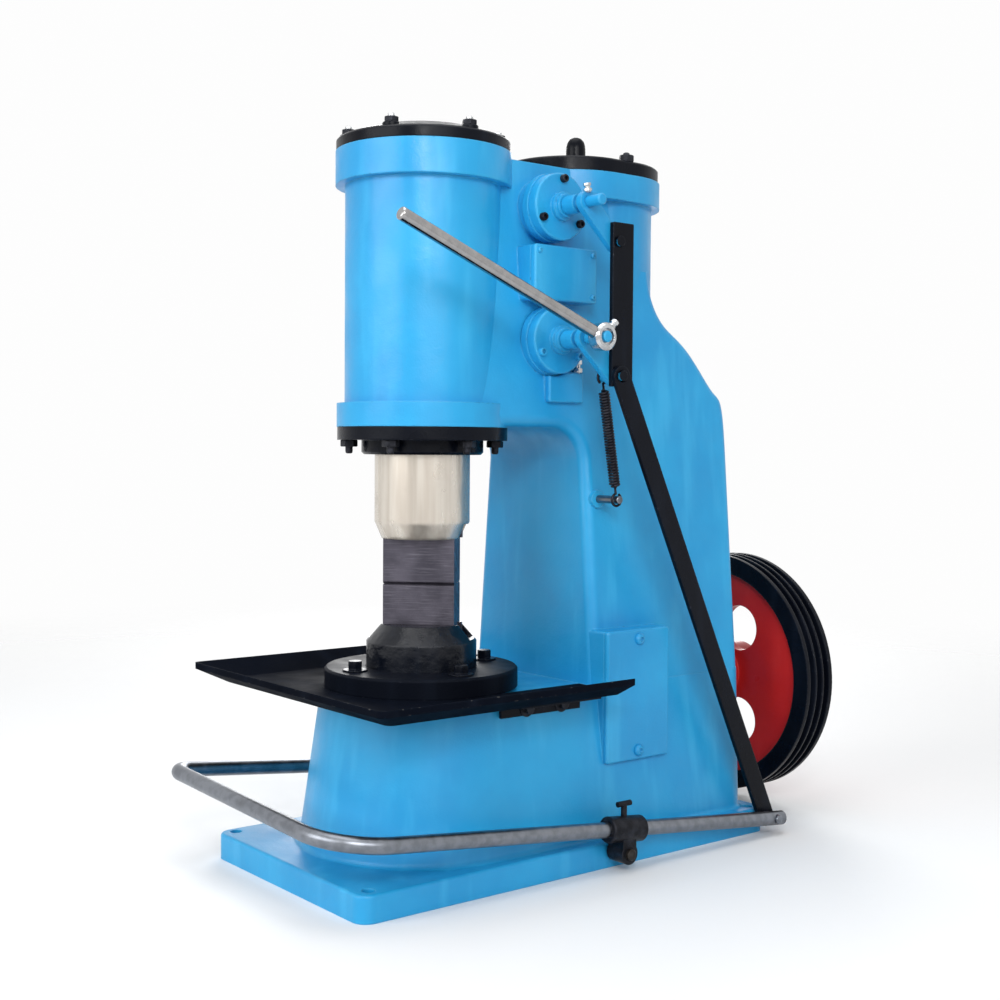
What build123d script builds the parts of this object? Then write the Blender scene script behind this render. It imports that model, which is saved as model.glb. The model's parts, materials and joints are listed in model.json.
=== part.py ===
"""Pneumatic forging hammer with a one-piece cast frame, in millimetres.

The ram moves on the line X = Y = 0 above the floor Z = 0. The column stands toward +Y, the
valve gear and the hand lever are on the +X side, and the belt pulley is at the rear.
"""
import os
from math import atan2, cos, degrees, hypot, radians, sin

from build123d import *

os.makedirs("parts", exist_ok=True)

# Allowances used all over the machine
overrun = 2.0
fit_gap = 0.05
running_gap = 0.3
die_face_gap = 0.6

# Base plate
base_width = 440.0
base_length = 857.0
base_thickness = 42.0
base_front_share = 0.301
base_corner_radius = 24.0
base_edge_radius = 5.0
anchor_hole_diameter = 20.0
anchor_inset_x = 22.0
anchor_inset_y = 26.0

# Pedestal under the anvil
pedestal_top = 285.0
pedestal_side_ledge = 22.0
pedestal_side_draft = 34.0
pedestal_rear_ledge = 30.0
pedestal_rear_rake = 28.0
pedestal_corner_radius = 32.0
pedestal_foot_fillet = 9.0

# Column and bridge between the cylinders
column_root_depth = 23.0
column_front = 235.0
column_rear_inset = 12.5
column_side_ledge = 1.5
column_draft_share = 0.083
column_front_radius = 18.0
column_rear_radius = 15.0
throat_rise = 2.0
throat_arch_radius = 56.0
bridge_drop = 7.0
shoulder_root_drop = 38.0
shoulder_knee_shares = (0.88, 0.167)
shoulder_waist_shares = (0.569, 0.3436)
shoulder_hollow_shares = (0.364, 0.4205)
shoulder_end_shares = (0.212, 0.625)

# Working cylinder
cylinder_radius = 126.5
lower_flange_radius = 139.0
upper_flange_radius = 142.0
cylinder_bottom = 710.0
cylinder_length = 440.0
lower_flange_height = 38.0
upper_flange_height = 54.0
cylinder_cover_inset = 1.0
cylinder_cover_edge = 19.0
cylinder_cover_height = 31.0
cylinder_cover_flat_radius = 104.0
cover_edge_chamfer = 3.0

# Compressor cylinder; its flange and its cover are drawn out toward the working cylinder
cylinder_pitch = 363.0
compressor_radius = 107.0
compressor_root_rise = 90.0
compressor_flange_radius = 121.0
compressor_flange_height = 45.0
compressor_flange_draw = 51.0
compressor_cover_inset = 3.0
compressor_cover_thickness = 24.0
filler_cap_x = 30.0
filler_cap_setback = 63.0
filler_cap_radius = 17.0
filler_cap_neck_radius = 13.0
filler_cap_neck_height = 7.0
filler_cap_height = 47.0
filler_cap_shoulder_height = 22.0

# Ram and its gland
ram_radius = 77.5
ram_bottom = 530.5
ram_top_drop = 150.0
ram_nose_radius = 66.0
ram_nose_height = 27.0
ram_cavity_radius = 56.0
ram_cavity_floor = 620.0
gland_flange_radius = 138.0
gland_flange_height = 21.0
gland_neck_radius = 99.0
gland_neck_height = 23.0
gland_edge_chamfer = 4.0

# Dies, their holder and the clamp ring, turned to face between the front and the valve side
die_turn = 45.0
die_length = 116.0
die_width = 66.0
die_parting = 457.5
die_chamfer = 3.0
lower_die_seat = 391.5
tongue_half_width = 20.0
tongue_depth = 24.0
tongue_flare = 3.0
key_width = 9.0
key_overhang = 5.0
holder_radius = 90.0
holder_cone_height = 28.0
holder_top_radius = 66.0
ring_radius = 157.5
ring_height = 37.0
ring_spigot_radius = 138.0
ring_edge_chamfer = 3.0

# Dished scale tray, open at the back
tray_half_width = 282.0
tray_front_reach = 268.0
tray_back = 212.0
tray_plate = 6.0
tray_flare_width = 40.0
tray_flare_rise = 21.0
tray_lip_height = 10.0
tray_lip_land = 2.0
tray_corner_radius = 12.0
tray_opening_radius = 150.0
bracket_gap = 7.0
bracket_reach = 57.0
bracket_front_y = 27.0
bracket_back_y = 190.0
bracket_drop = 28.0
bracket_plate = 6.0

# Inspection cover on the right side of the column
side_cover_setback = 73.0
side_cover_z = 268.5
side_cover_width = 142.0
side_cover_height = 219.0
side_cover_pad_inset = 38.0
side_cover_thickness = 10.0
side_cover_corner_radius = 5.0

# Rotary valves on the right of the bridge
valve_y = 165.0
upper_valve_share = 0.809
lower_valve_share = 0.3225
valve_boss_inset = 31.5
valve_boss_depth = 71.0
valve_boss_edge = 14.0
valve_boss_radius = 56.0
valve_boss_root_radius = 49.0
valve_flange_radius = 54.0
valve_flange_thickness = 19.0
valve_flange_chamfer = 2.0
valve_neck_radius = 23.0
valve_neck_length = 8.0
valve_neck_step_radius = 19.0
valve_neck_step_length = 7.0
valve_shaft_radius = 9.0
valve_shaft_sink = 6.0
valve_collar_gap = 1.0
valve_collar_length = 27.0
valve_collar_radius = 15.0
valve_shaft_chamfer = 2.0
chest_y = 177.0
chest_width = 132.0
chest_gap = 7.0
chest_pad_rise = 7.0
chest_cover_thickness = 12.0
chest_corner_radius = 5.0
stop_block_y = 192.5
stop_block_drop = 74.4
stop_block_width = 74.0
stop_block_height = 50.0
stop_block_sink = 7.0
stop_block_pad_rise = 0.3
stop_block_depth = 11.0
stop_block_radius = 4.0
stop_block_gap = 1.0

# Valve levers and link bars
lever_gap = 10.5
lever_thickness = 12.0
lever_boss_radius = 17.0
lever_eye_radius = 14.0
lever_pin_dy = 59.0
lever_pin_dz = -59.0
lever_pin_radius = 7.0
link_width = 44.0
link_offset = 8.0
link_thickness = 8.0
link_side_gap = 1.0
link_top_overhang = 31.0
link_bottom_overhang = 16.0
link_corner_radius = 2.0
foot_link_width = 34.0
foot_link_top_clearance = 2.8
pin_head_reach = 3.0
pin_chamfer = 1.0

# Hand lever
hub_gap = 2.5
hub_width = 26.0
hub_radius = 22.0
hub_chamfer = 4.0
hub_recess_radius = 13.0
hub_recess_depth = 5.0
hub_socket_depth_radius = 15.0
rod_radius = 10.0
rod_end_y = -218.0
rod_rise = 152.0
rod_tip_radius = 4.0
upper_shaft_reach = 14.5
lower_shaft_reach = 2.0

# Return spring of the valve gear
spring_gap = 17.5
spring_radius = 9.5
spring_wire_radius = 2.5
spring_foot_y = 258.0
spring_drop = 199.0
spring_eye_radius = 10.0
spring_body_margin = 20.0
spring_pin_reach = 8.0
spring_anchor_radius = 6.5
spring_anchor_reach = 9.0
spring_boss_radius = 15.0
spring_boss_inset = 19.5
spring_boss_depth = 43.0

# Foot treadle; its left side stands a little higher and further out than its right side
treadle_side_gap = 27.0
treadle_front_gap = 57.0
treadle_radius = 12.5
treadle_slope = 6.2
treadle_lift = 18.0
treadle_left_reach = 15.0
treadle_tail = 22.0
treadle_left_tail = 52.0
treadle_right_bend = 92.0
treadle_left_bend = 28.0
treadle_pivot_y = 224.0
treadle_pivot_z = 30.0
treadle_rise_at_pivot = 38.0
treadle_link_pin_inset = 13.0
treadle_link_pin_radius = 8.0
treadle_link_pin_reach = 16.0
pivot_pin_radius = 9.0
pivot_pin_depth = 34.0
pivot_pin_reach = 21.0
clamp_barrel_radius = 21.0
clamp_barrel_length = 74.0
clamp_foot_radius = 17.0
clamp_foot_gap = 6.0
clamp_foot_reach = 15.0
clamp_neck_width = 28.0
clamp_chamfer = 2.0
tee_bolt_radius = 5.0
tee_bolt_depth = 7.0
tee_bolt_height = 20.0
tee_bar_radius = 4.5
tee_bar_length = 28.0

# Crankshaft end and belt pulley
bearing_pad_radius = 102.0
bearing_pad_depth = 94.0
bearing_pad_rise = 2.0
bearing_flange_radius = 95.0
bearing_flange_thickness = 20.0
bearing_barrel_radius = 60.0
bearing_length = 90.0
pulley_z = 248.0
pulley_gap = 9.0
pulley_width = 70.0
pulley_radius = 227.0
pulley_rim_depth = 33.0
web_inset = 10.0
web_thickness = 20.0
web_hole_radius = 43.0
web_hole_circle = 102.0
web_hole_count = 3
pulley_hub_gap = 6.0
pulley_hub_length = 78.0
pulley_hub_radius = 52.0
groove_count = 3
groove_pitch = 19.0
groove_half_top = 7.5
groove_half_bottom = 4.0
groove_depth = 14.0
shaft_radius = 25.0
shaft_sink = 12.0
shaft_reach = 18.0
retainer_radius = 36.0
retainer_thickness = 7.0
retainer_nut_flats = 60.0

# Positions along the machine and across it
base_half = base_width / 2
base_front_reach = base_length * base_front_share
base_rear = base_length - base_front_reach
base_center_y = base_length / 2 - base_front_reach
anchor_span_x = base_width - 2 * anchor_inset_x
anchor_span_y = base_length - 2 * anchor_inset_y
pedestal_foot_half_width = base_half - pedestal_side_ledge
pedestal_top_half_width = pedestal_foot_half_width - pedestal_side_draft
pedestal_foot_rear = base_rear - pedestal_rear_ledge
pedestal_top_rear = pedestal_foot_rear + pedestal_rear_rake
column_rear = base_rear - column_rear_inset
column_foot_half_width = pedestal_top_half_width - column_side_ledge
compressor_y = cylinder_pitch
compressor_front_y = compressor_y - compressor_flange_draw
filler_cap_y = compressor_y - filler_cap_setback
side_cover_y = column_front + side_cover_setback
side_cover_pad_x = base_half - side_cover_pad_inset
bracket_inner_x = pedestal_top_half_width + bracket_gap
bracket_outer_x = bracket_inner_x + bracket_reach

# Heights of the cylinders, the ram and the parts on the pedestal
column_root = pedestal_top - column_root_depth
cylinder_top = cylinder_bottom + cylinder_length
throat_roof = cylinder_bottom + throat_rise
bridge_top = cylinder_top - bridge_drop
shoulder_root = cylinder_bottom - shoulder_root_drop
shoulder_run = column_rear - compressor_y
shoulder_end, shoulder_hollow, shoulder_waist, shoulder_knee = [
    (compressor_y + shoulder_run * along_share, cylinder_bottom + cylinder_length * up_share)
    for along_share, up_share in (
        shoulder_end_shares, shoulder_hollow_shares, shoulder_waist_shares, shoulder_knee_shares,
    )
]
lower_flange_top = cylinder_bottom + lower_flange_height
upper_flange_bottom = cylinder_top - upper_flange_height
cylinder_cover_radius = upper_flange_radius - cylinder_cover_inset
compressor_root = cylinder_bottom + compressor_root_rise
compressor_flange_bottom = bridge_top - compressor_flange_height
compressor_cover_radius = compressor_flange_radius - compressor_cover_inset
compressor_cover_top = bridge_top + compressor_cover_thickness
ram_top = cylinder_top - ram_top_drop
gland_flange_bottom = cylinder_bottom - gland_flange_height
gland_neck_bottom = gland_flange_bottom - gland_neck_height
holder_cone_bottom = lower_die_seat - holder_cone_height
ring_top = pedestal_top + ring_height
tray_floor_top = pedestal_top + tray_plate
tray_lip_bottom = pedestal_top + tray_flare_rise
tray_lip_top = tray_lip_bottom + tray_lip_height
upper_die_seat = ram_bottom
slot_half_extra = key_width + fit_gap

# Valve gear, outward from the column side
upper_valve_z = cylinder_bottom + cylinder_length * upper_valve_share
lower_valve_z = cylinder_bottom + cylinder_length * lower_valve_share
valve_boss_face = column_foot_half_width - valve_boss_inset
valve_boss_root = valve_boss_face - valve_boss_depth
valve_flange_face = valve_boss_face + valve_flange_thickness
valve_neck_step_x = valve_flange_face + valve_neck_length
valve_neck_face = valve_neck_step_x + valve_neck_step_length
valve_shaft_root = valve_boss_face + valve_shaft_sink
valve_collar_start = valve_neck_face + valve_collar_gap
valve_collar_end = valve_collar_start + valve_collar_length
chest_z = (upper_valve_z + lower_valve_z) / 2
chest_height = upper_valve_z - lower_valve_z - 2 * (valve_boss_radius + chest_gap)
chest_pad_face = valve_boss_face + chest_pad_rise
stop_block_z = lower_valve_z - stop_block_drop
stop_block_drop_to_pedestal = stop_block_z - stop_block_height / 2 - pedestal_top
stop_block_column_side = column_foot_half_width - stop_block_drop_to_pedestal * column_draft_share
stop_block_pad_face = max(valve_boss_face - stop_block_sink, stop_block_column_side + stop_block_pad_rise)
stop_block_face = stop_block_pad_face + stop_block_depth
lever_back_x = valve_collar_end + lever_gap
lever_face_x = lever_back_x + lever_thickness
lever_pin_y = valve_y + lever_pin_dy
upper_pin_z = upper_valve_z + lever_pin_dz
lower_pin_z = lower_valve_z + lever_pin_dz
valve_link_x = lever_face_x + link_side_gap
foot_link_x = valve_link_x + link_thickness + link_side_gap
foot_link_face_x = foot_link_x + link_thickness
hub_start_x = foot_link_face_x + hub_gap
hub_end_x = hub_start_x + hub_width
upper_shaft_end = foot_link_face_x + upper_shaft_reach
lower_shaft_end = hub_end_x + lower_shaft_reach
rod_end_z = lower_valve_z + rod_rise
spring_x = lever_back_x - spring_gap
spring_pin_start_x = spring_x - spring_pin_reach
spring_anchor_end = spring_x + spring_anchor_reach
spring_foot_z = lower_pin_z - spring_drop
spring_boss_face = column_foot_half_width - spring_boss_inset
spring_boss_root = spring_boss_face - spring_boss_depth

# Treadle
treadle_half_width = base_half + treadle_side_gap
treadle_left_half_width = treadle_half_width + treadle_left_reach
treadle_width = treadle_half_width + treadle_left_half_width
treadle_span = hypot(treadle_width, treadle_lift)
treadle_front_y = -base_front_reach - treadle_front_gap
treadle_link_pin_y = base_rear - treadle_link_pin_inset
treadle_rear_y = treadle_link_pin_y + treadle_tail
treadle_left_end_y = treadle_pivot_y + treadle_left_tail
treadle_right_z = treadle_pivot_z + treadle_rise_at_pivot
treadle_left_z = treadle_right_z + treadle_lift
treadle_tan_share = sin(radians(treadle_slope)) / cos(radians(treadle_slope))
treadle_roll_share = treadle_lift / treadle_width
treadle_link_pin_z = treadle_right_z - (treadle_link_pin_y - treadle_pivot_y) * treadle_tan_share
treadle_link_pin_start = foot_link_x - overrun
treadle_link_pin_end = treadle_half_width + treadle_link_pin_reach
pivot_pin_end = treadle_half_width + pivot_pin_reach
pivot_pin_left_end = treadle_left_half_width + pivot_pin_reach
clamp_foot_start = base_half + clamp_foot_gap
clamp_foot_end = treadle_half_width + clamp_foot_reach
clamp_foot_left_end = treadle_left_half_width + clamp_foot_reach
bolt_rise = clamp_barrel_radius - tee_bolt_depth

# Crankshaft and pulley, outward from the rear of the base
bearing_pad_face_y = base_rear + bearing_pad_rise
bearing_pad_root_y = bearing_pad_face_y - bearing_pad_depth
bearing_end_y = bearing_pad_face_y + bearing_length
pulley_front_y = bearing_end_y + pulley_gap
pulley_middle_y = pulley_front_y + pulley_width / 2
pulley_rim_inner = pulley_radius - pulley_rim_depth
web_front_y = pulley_front_y + web_inset
hub_front_y = bearing_end_y + pulley_hub_gap
hub_rear_y = hub_front_y + pulley_hub_length
shaft_front_y = bearing_pad_face_y + shaft_sink
shaft_rear_y = hub_rear_y + shaft_reach
pulley_axis = Axis((0, 0, pulley_z), (0, 1, 0))


def finish(builder, label):
    """Name one sub-part and write its file."""
    builder.part.label = label
    export_step(builder.part, f"parts/{label}.step")


def cross_plane(y):
    """Upright plane across the machine at the distance y behind the ram axis, facing the rear."""
    return Plane(origin=(0, y, 0), x_dir=(-1, 0, 0), z_dir=(0, 1, 0))


# Plane square to the long side of the dies: local x across the die, local y upward
die_plane = Plane(
    origin=(0, 0, 0),
    x_dir=(-sin(radians(die_turn)), cos(radians(die_turn)), 0),
    z_dir=(cos(radians(die_turn)), sin(radians(die_turn)), 0),
)

# Sloping plane of the treadle: local x to the right, local y to the rear along the right leg
treadle_leg = Vector(0, cos(radians(treadle_slope)), -sin(radians(treadle_slope)))
treadle_upright = Vector(
    treadle_roll_share * cos(radians(treadle_slope)), sin(radians(treadle_slope)), cos(radians(treadle_slope))
)
treadle_plane = Plane(
    origin=(treadle_half_width, treadle_pivot_y, treadle_right_z),
    x_dir=treadle_leg.cross(treadle_upright),
    z_dir=treadle_upright,
)


# Column block: the side view of column, throat arch, bridge and rear shoulder, drafted in width
with BuildPart() as column_block:
    with BuildSketch(Plane.YZ):
        with BuildLine():
            front = Line((column_front, column_root), (column_front, throat_roof - throat_arch_radius))
            arch = CenterArc(
                (column_front - throat_arch_radius, throat_roof - throat_arch_radius),
                throat_arch_radius, 0, 90,
            )
            Polyline(
                arch @ 1, (0, throat_roof), (0, bridge_top), (compressor_y, bridge_top),
                (compressor_y, shoulder_end[1]), shoulder_end,
            )
            Spline(
                shoulder_end, shoulder_hollow, shoulder_waist, shoulder_knee, (column_rear, shoulder_root),
                tangents=((0, -1), (0, -1)),
            )
            Polyline((column_rear, shoulder_root), (column_rear, column_root), front @ 0)
        make_face()
    extrude(amount=base_half, both=True)
    root_half_width = column_foot_half_width + (pedestal_top - column_root) * column_draft_share
    head_half_width = column_foot_half_width - (cylinder_top - pedestal_top) * column_draft_share
    with BuildSketch(Plane.XZ):
        with BuildLine():
            Polyline(
                (-root_half_width, column_root), (root_half_width, column_root),
                (head_half_width, cylinder_top), (-head_half_width, cylinder_top), close=True,
            )
        make_face()
    extrude(amount=base_length, both=True, mode=Mode.INTERSECT)
    lengthwise = column_block.edges().filter_by(Axis.X, reverse=True)
    throat_edges = lengthwise.filter_by_position(
        Axis.Y, column_front - throat_arch_radius, column_front
    )
    fillet(throat_edges.filter_by_position(Axis.Z, column_root, throat_roof), column_front_radius)
    lengthwise = column_block.edges().filter_by(Axis.X, reverse=True)
    rear_edges = lengthwise.filter_by_position(Axis.Y, shoulder_end[0], column_rear)
    fillet(rear_edges.filter_by_position(Axis.Z, column_root + overrun, bridge_top), column_rear_radius)


# Frame casting: base, pedestal, column, both cylinders and the pads, bored for the ram
with BuildPart() as frame_casting:
    with BuildSketch(Plane.XY):
        with Locations((0, base_center_y)):
            RectangleRounded(base_width, base_length, base_corner_radius)
    extrude(amount=base_thickness)
    fillet(frame_casting.faces().sort_by(Axis.Z)[-1].edges(), base_edge_radius)
    for level, half_width, rear in (
        (base_thickness, pedestal_foot_half_width, pedestal_foot_rear),
        (pedestal_top, pedestal_top_half_width, pedestal_top_rear),
    ):
        with BuildSketch(Plane.XY.offset(level)) as section:
            with BuildLine():
                nose = CenterArc((0, 0), half_width, 180, 180)
                Polyline(nose @ 1, (half_width, rear), (-half_width, rear), nose @ 0)
            make_face()
            fillet(section.vertices().group_by(Axis.Y)[-1], pedestal_corner_radius)
    loft(ruled=True)
    foot_edges = frame_casting.edges().filter_by_position(
        Axis.Z, base_thickness - fit_gap, base_thickness + fit_gap
    )
    inner_half = base_half - base_edge_radius - fit_gap
    foot_edges = foot_edges.filter_by(
        lambda e: max(abs((e @ 0).X), abs((e @ 1).X)) < inner_half
        and max((e @ 0).Y, (e @ 1).Y) < pedestal_foot_rear + overrun
        and min((e @ 0.5).Y, (e @ 0).Y) > -pedestal_foot_half_width - overrun
    )
    fillet(foot_edges, pedestal_foot_fillet)
    add(column_block.part)
    # Inspection pad on the right side
    with BuildSketch(Plane.YZ):
        with Locations((side_cover_y, side_cover_z)):
            RectangleRounded(side_cover_width, side_cover_height, side_cover_corner_radius)
    extrude(amount=side_cover_pad_x)
    # Working cylinder with its two flanges
    for bottom, top, radius in (
        (cylinder_bottom, cylinder_top, cylinder_radius),
        (cylinder_bottom, lower_flange_top, lower_flange_radius),
        (upper_flange_bottom, cylinder_top, upper_flange_radius),
    ):
        with BuildSketch(Plane.XY.offset(bottom)):
            Circle(radius)
        extrude(amount=top - bottom)
    # Compressor cylinder with its drawn-out flange
    with BuildSketch(Plane.XY.offset(compressor_root)):
        with Locations((0, compressor_y)):
            Circle(compressor_radius)
    extrude(amount=bridge_top - compressor_root)
    with BuildSketch(Plane.XY.offset(compressor_flange_bottom)):
        with Locations((0, compressor_y), (0, compressor_front_y)):
            Circle(compressor_flange_radius)
        make_hull()
    extrude(amount=compressor_flange_height)
    # Valve bosses, valve chest pad, stop block pad and spring boss on the right
    for depth, radius in (
        (valve_boss_depth, valve_boss_root_radius),
        (valve_boss_edge, valve_boss_radius),
    ):
        with BuildSketch(Plane.YZ.offset(valve_boss_face - depth)):
            with Locations((valve_y, upper_valve_z), (valve_y, lower_valve_z)):
                Circle(radius)
        extrude(amount=depth)
    with BuildSketch(Plane.YZ.offset(valve_boss_root)):
        with Locations((chest_y, chest_z)):
            RectangleRounded(chest_width, chest_height, chest_corner_radius)
    extrude(amount=chest_pad_face - valve_boss_root)
    with BuildSketch(Plane.YZ.offset(valve_boss_root)):
        with Locations((stop_block_y, stop_block_z)):
            RectangleRounded(stop_block_width, stop_block_height, stop_block_radius)
    extrude(amount=stop_block_pad_face - valve_boss_root)
    with BuildSketch(Plane.YZ.offset(spring_boss_root)):
        with Locations((spring_foot_y, spring_foot_z)):
            Circle(spring_boss_radius)
    extrude(amount=spring_boss_face - spring_boss_root)
    # Bearing pad on the rear of the pedestal
    with BuildSketch(cross_plane(bearing_pad_root_y)):
        with Locations((0, pulley_z)):
            Circle(bearing_pad_radius)
    extrude(amount=bearing_pad_face_y - bearing_pad_root_y)
    # Ram bore, treadle pin bores, valve bores, spring stud bore and anchor holes
    with BuildSketch(Plane.XY.offset(cylinder_bottom - overrun)):
        Circle(ram_radius + running_gap)
    extrude(amount=cylinder_top - cylinder_bottom + 2 * overrun, mode=Mode.SUBTRACT)
    for side in (1, -1):
        with BuildSketch(Plane.YZ.offset(side * (base_half - pivot_pin_depth))):
            with Locations((treadle_pivot_y, treadle_pivot_z)):
                Circle(pivot_pin_radius + fit_gap)
        extrude(amount=side * (pivot_pin_depth + overrun), mode=Mode.SUBTRACT)
    with BuildSketch(Plane.YZ.offset(valve_boss_face - overrun)):
        with Locations((valve_y, upper_valve_z), (valve_y, lower_valve_z)):
            Circle(valve_shaft_radius + running_gap)
    extrude(amount=2 * overrun, mode=Mode.SUBTRACT)
    with BuildSketch(Plane.XY):
        with Locations((0, base_center_y)):
            with GridLocations(anchor_span_x, anchor_span_y, 2, 2):
                Circle(anchor_hole_diameter / 2)
    extrude(amount=base_thickness + pedestal_foot_fillet, mode=Mode.SUBTRACT)
finish(frame_casting, "frame_casting")


# Black cover on the working cylinder: a flat edge and a low cone inside the bolt circle
with BuildPart() as working_cylinder_cover:
    with BuildSketch(Plane.XZ):
        with BuildLine():
            Polyline(
                (0, cylinder_top), (cylinder_cover_radius, cylinder_top),
                (cylinder_cover_radius, cylinder_top + cylinder_cover_edge - cover_edge_chamfer),
                (cylinder_cover_radius - cover_edge_chamfer, cylinder_top + cylinder_cover_edge),
                (cylinder_cover_flat_radius, cylinder_top + cylinder_cover_height),
                (0, cylinder_top + cylinder_cover_height), close=True,
            )
        make_face()
    revolve(axis=Axis.Z)
finish(working_cylinder_cover, "working_cylinder_cover")


# Oval cover on the compressor cylinder
with BuildPart() as compressor_cylinder_cover:
    with BuildSketch(Plane.XY.offset(bridge_top)):
        with Locations((0, compressor_y), (0, compressor_front_y)):
            Circle(compressor_cover_radius)
        make_hull()
    extrude(amount=compressor_cover_thickness)
    chamfer(compressor_cylinder_cover.edges().group_by(Axis.Z)[-1], cover_edge_chamfer)
finish(compressor_cylinder_cover, "compressor_cylinder_cover")


# Bullet-shaped filler cap on the compressor cover
with BuildPart() as filler_cap:
    with BuildSketch(Plane((filler_cap_x, filler_cap_y, compressor_cover_top),
                           x_dir=(1, 0, 0), z_dir=(0, -1, 0))):
        with BuildLine():
            Polyline(
                (0, filler_cap_height), (0, 0), (filler_cap_neck_radius, 0),
                (filler_cap_neck_radius, filler_cap_neck_height),
                (filler_cap_radius, filler_cap_neck_height),
                (filler_cap_radius, filler_cap_shoulder_height),
            )
            Spline(
                (filler_cap_radius, filler_cap_shoulder_height), (0, filler_cap_height),
                tangents=((0, 1), (-1, 0)),
            )
        make_face()
    revolve(axis=Axis((filler_cap_x, filler_cap_y, 0), (0, 0, 1)))
finish(filler_cap, "filler_cap")


# Gland that guides the ram under the working cylinder
with BuildPart() as cylinder_gland:
    with BuildSketch(Plane.XZ):
        with BuildLine():
            Polyline(
                (ram_radius + running_gap, cylinder_bottom),
                (ram_radius + running_gap, gland_neck_bottom),
                (gland_neck_radius - gland_edge_chamfer, gland_neck_bottom),
                (gland_neck_radius, gland_neck_bottom + gland_edge_chamfer),
                (gland_neck_radius, gland_flange_bottom),
                (gland_flange_radius, gland_flange_bottom),
                (gland_flange_radius, cylinder_bottom), close=True,
            )
        make_face()
    revolve(axis=Axis.Z)
finish(cylinder_gland, "cylinder_gland")


# Ram: hollow from the top, coned nose, dovetail slot for the upper die
with BuildPart() as ram:
    with BuildSketch(Plane.XZ):
        with BuildLine():
            Polyline(
                (0, ram_bottom), (ram_nose_radius, ram_bottom),
                (ram_radius, ram_bottom + ram_nose_height), (ram_radius, ram_top),
                (ram_cavity_radius, ram_top), (ram_cavity_radius, ram_cavity_floor),
                (0, ram_cavity_floor), close=True,
            )
        make_face()
    revolve(axis=Axis.Z)
    with BuildSketch(die_plane):
        with BuildLine():
            Polyline(
                (-tongue_half_width - fit_gap, upper_die_seat - overrun),
                (-tongue_half_width - fit_gap, upper_die_seat),
                (-tongue_half_width - tongue_flare - fit_gap, upper_die_seat + tongue_depth + fit_gap),
                (tongue_half_width + tongue_flare + slot_half_extra, upper_die_seat + tongue_depth + fit_gap),
                (tongue_half_width + slot_half_extra, upper_die_seat),
                (tongue_half_width + slot_half_extra, upper_die_seat - overrun), close=True,
            )
        make_face()
    extrude(amount=ram_radius + overrun, both=True, mode=Mode.SUBTRACT)
finish(ram, "ram")


with BuildPart() as upper_die:
    with BuildSketch(die_plane):
        with BuildLine():
            Polyline(
                (-die_width / 2, upper_die_seat), (-die_width / 2, die_parting + die_face_gap + die_chamfer),
                (-die_width / 2 + die_chamfer, die_parting + die_face_gap),
                (die_width / 2 - die_chamfer, die_parting + die_face_gap),
                (die_width / 2, die_parting + die_face_gap + die_chamfer), (die_width / 2, upper_die_seat),
                (tongue_half_width, upper_die_seat),
                (tongue_half_width + tongue_flare, upper_die_seat + tongue_depth),
                (-tongue_half_width - tongue_flare, upper_die_seat + tongue_depth),
                (-tongue_half_width, upper_die_seat), close=True,
            )
        make_face()
    extrude(amount=die_length / 2, both=True)
finish(upper_die, "upper_die")


# Wedge key beside the tongue of the upper die
with BuildPart() as upper_die_key:
    with BuildSketch(die_plane):
        with BuildLine():
            Polyline(
                (tongue_half_width + fit_gap, upper_die_seat + fit_gap),
                (tongue_half_width + key_width, upper_die_seat + fit_gap),
                (tongue_half_width + tongue_flare + key_width, upper_die_seat + tongue_depth),
                (tongue_half_width + tongue_flare + fit_gap, upper_die_seat + tongue_depth), close=True,
            )
        make_face()
    extrude(amount=die_length / 2 + key_overhang, both=True)
finish(upper_die_key, "upper_die_key")


# Die holder on the pedestal: a coned block with the dovetail slot of the lower die
with BuildPart() as die_holder:
    with BuildSketch(Plane.XZ):
        with BuildLine():
            Polyline(
                (0, pedestal_top), (holder_radius, pedestal_top), (holder_radius, holder_cone_bottom),
                (holder_top_radius, lower_die_seat), (0, lower_die_seat), close=True,
            )
        make_face()
    revolve(axis=Axis.Z)
    with BuildSketch(die_plane):
        with BuildLine():
            Polyline(
                (-tongue_half_width - fit_gap, lower_die_seat + overrun),
                (-tongue_half_width - fit_gap, lower_die_seat),
                (-tongue_half_width - tongue_flare - fit_gap, lower_die_seat - tongue_depth - fit_gap),
                (tongue_half_width + tongue_flare + slot_half_extra, lower_die_seat - tongue_depth - fit_gap),
                (tongue_half_width + slot_half_extra, lower_die_seat),
                (tongue_half_width + slot_half_extra, lower_die_seat + overrun), close=True,
            )
        make_face()
    extrude(amount=holder_radius + overrun, both=True, mode=Mode.SUBTRACT)
finish(die_holder, "die_holder")


with BuildPart() as lower_die:
    with BuildSketch(die_plane):
        with BuildLine():
            Polyline(
                (-die_width / 2, lower_die_seat), (-die_width / 2, die_parting - die_chamfer),
                (-die_width / 2 + die_chamfer, die_parting), (die_width / 2 - die_chamfer, die_parting),
                (die_width / 2, die_parting - die_chamfer), (die_width / 2, lower_die_seat),
                (tongue_half_width, lower_die_seat),
                (tongue_half_width + tongue_flare, lower_die_seat - tongue_depth),
                (-tongue_half_width - tongue_flare, lower_die_seat - tongue_depth),
                (-tongue_half_width, lower_die_seat), close=True,
            )
        make_face()
    extrude(amount=die_length / 2, both=True)
finish(lower_die, "lower_die")


with BuildPart() as lower_die_key:
    with BuildSketch(die_plane):
        with BuildLine():
            Polyline(
                (tongue_half_width + fit_gap, lower_die_seat - fit_gap),
                (tongue_half_width + key_width, lower_die_seat - fit_gap),
                (tongue_half_width + tongue_flare + key_width, lower_die_seat - tongue_depth),
                (tongue_half_width + tongue_flare + fit_gap, lower_die_seat - tongue_depth), close=True,
            )
        make_face()
    extrude(amount=die_length / 2 + key_overhang, both=True)
finish(lower_die_key, "lower_die_key")


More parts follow.
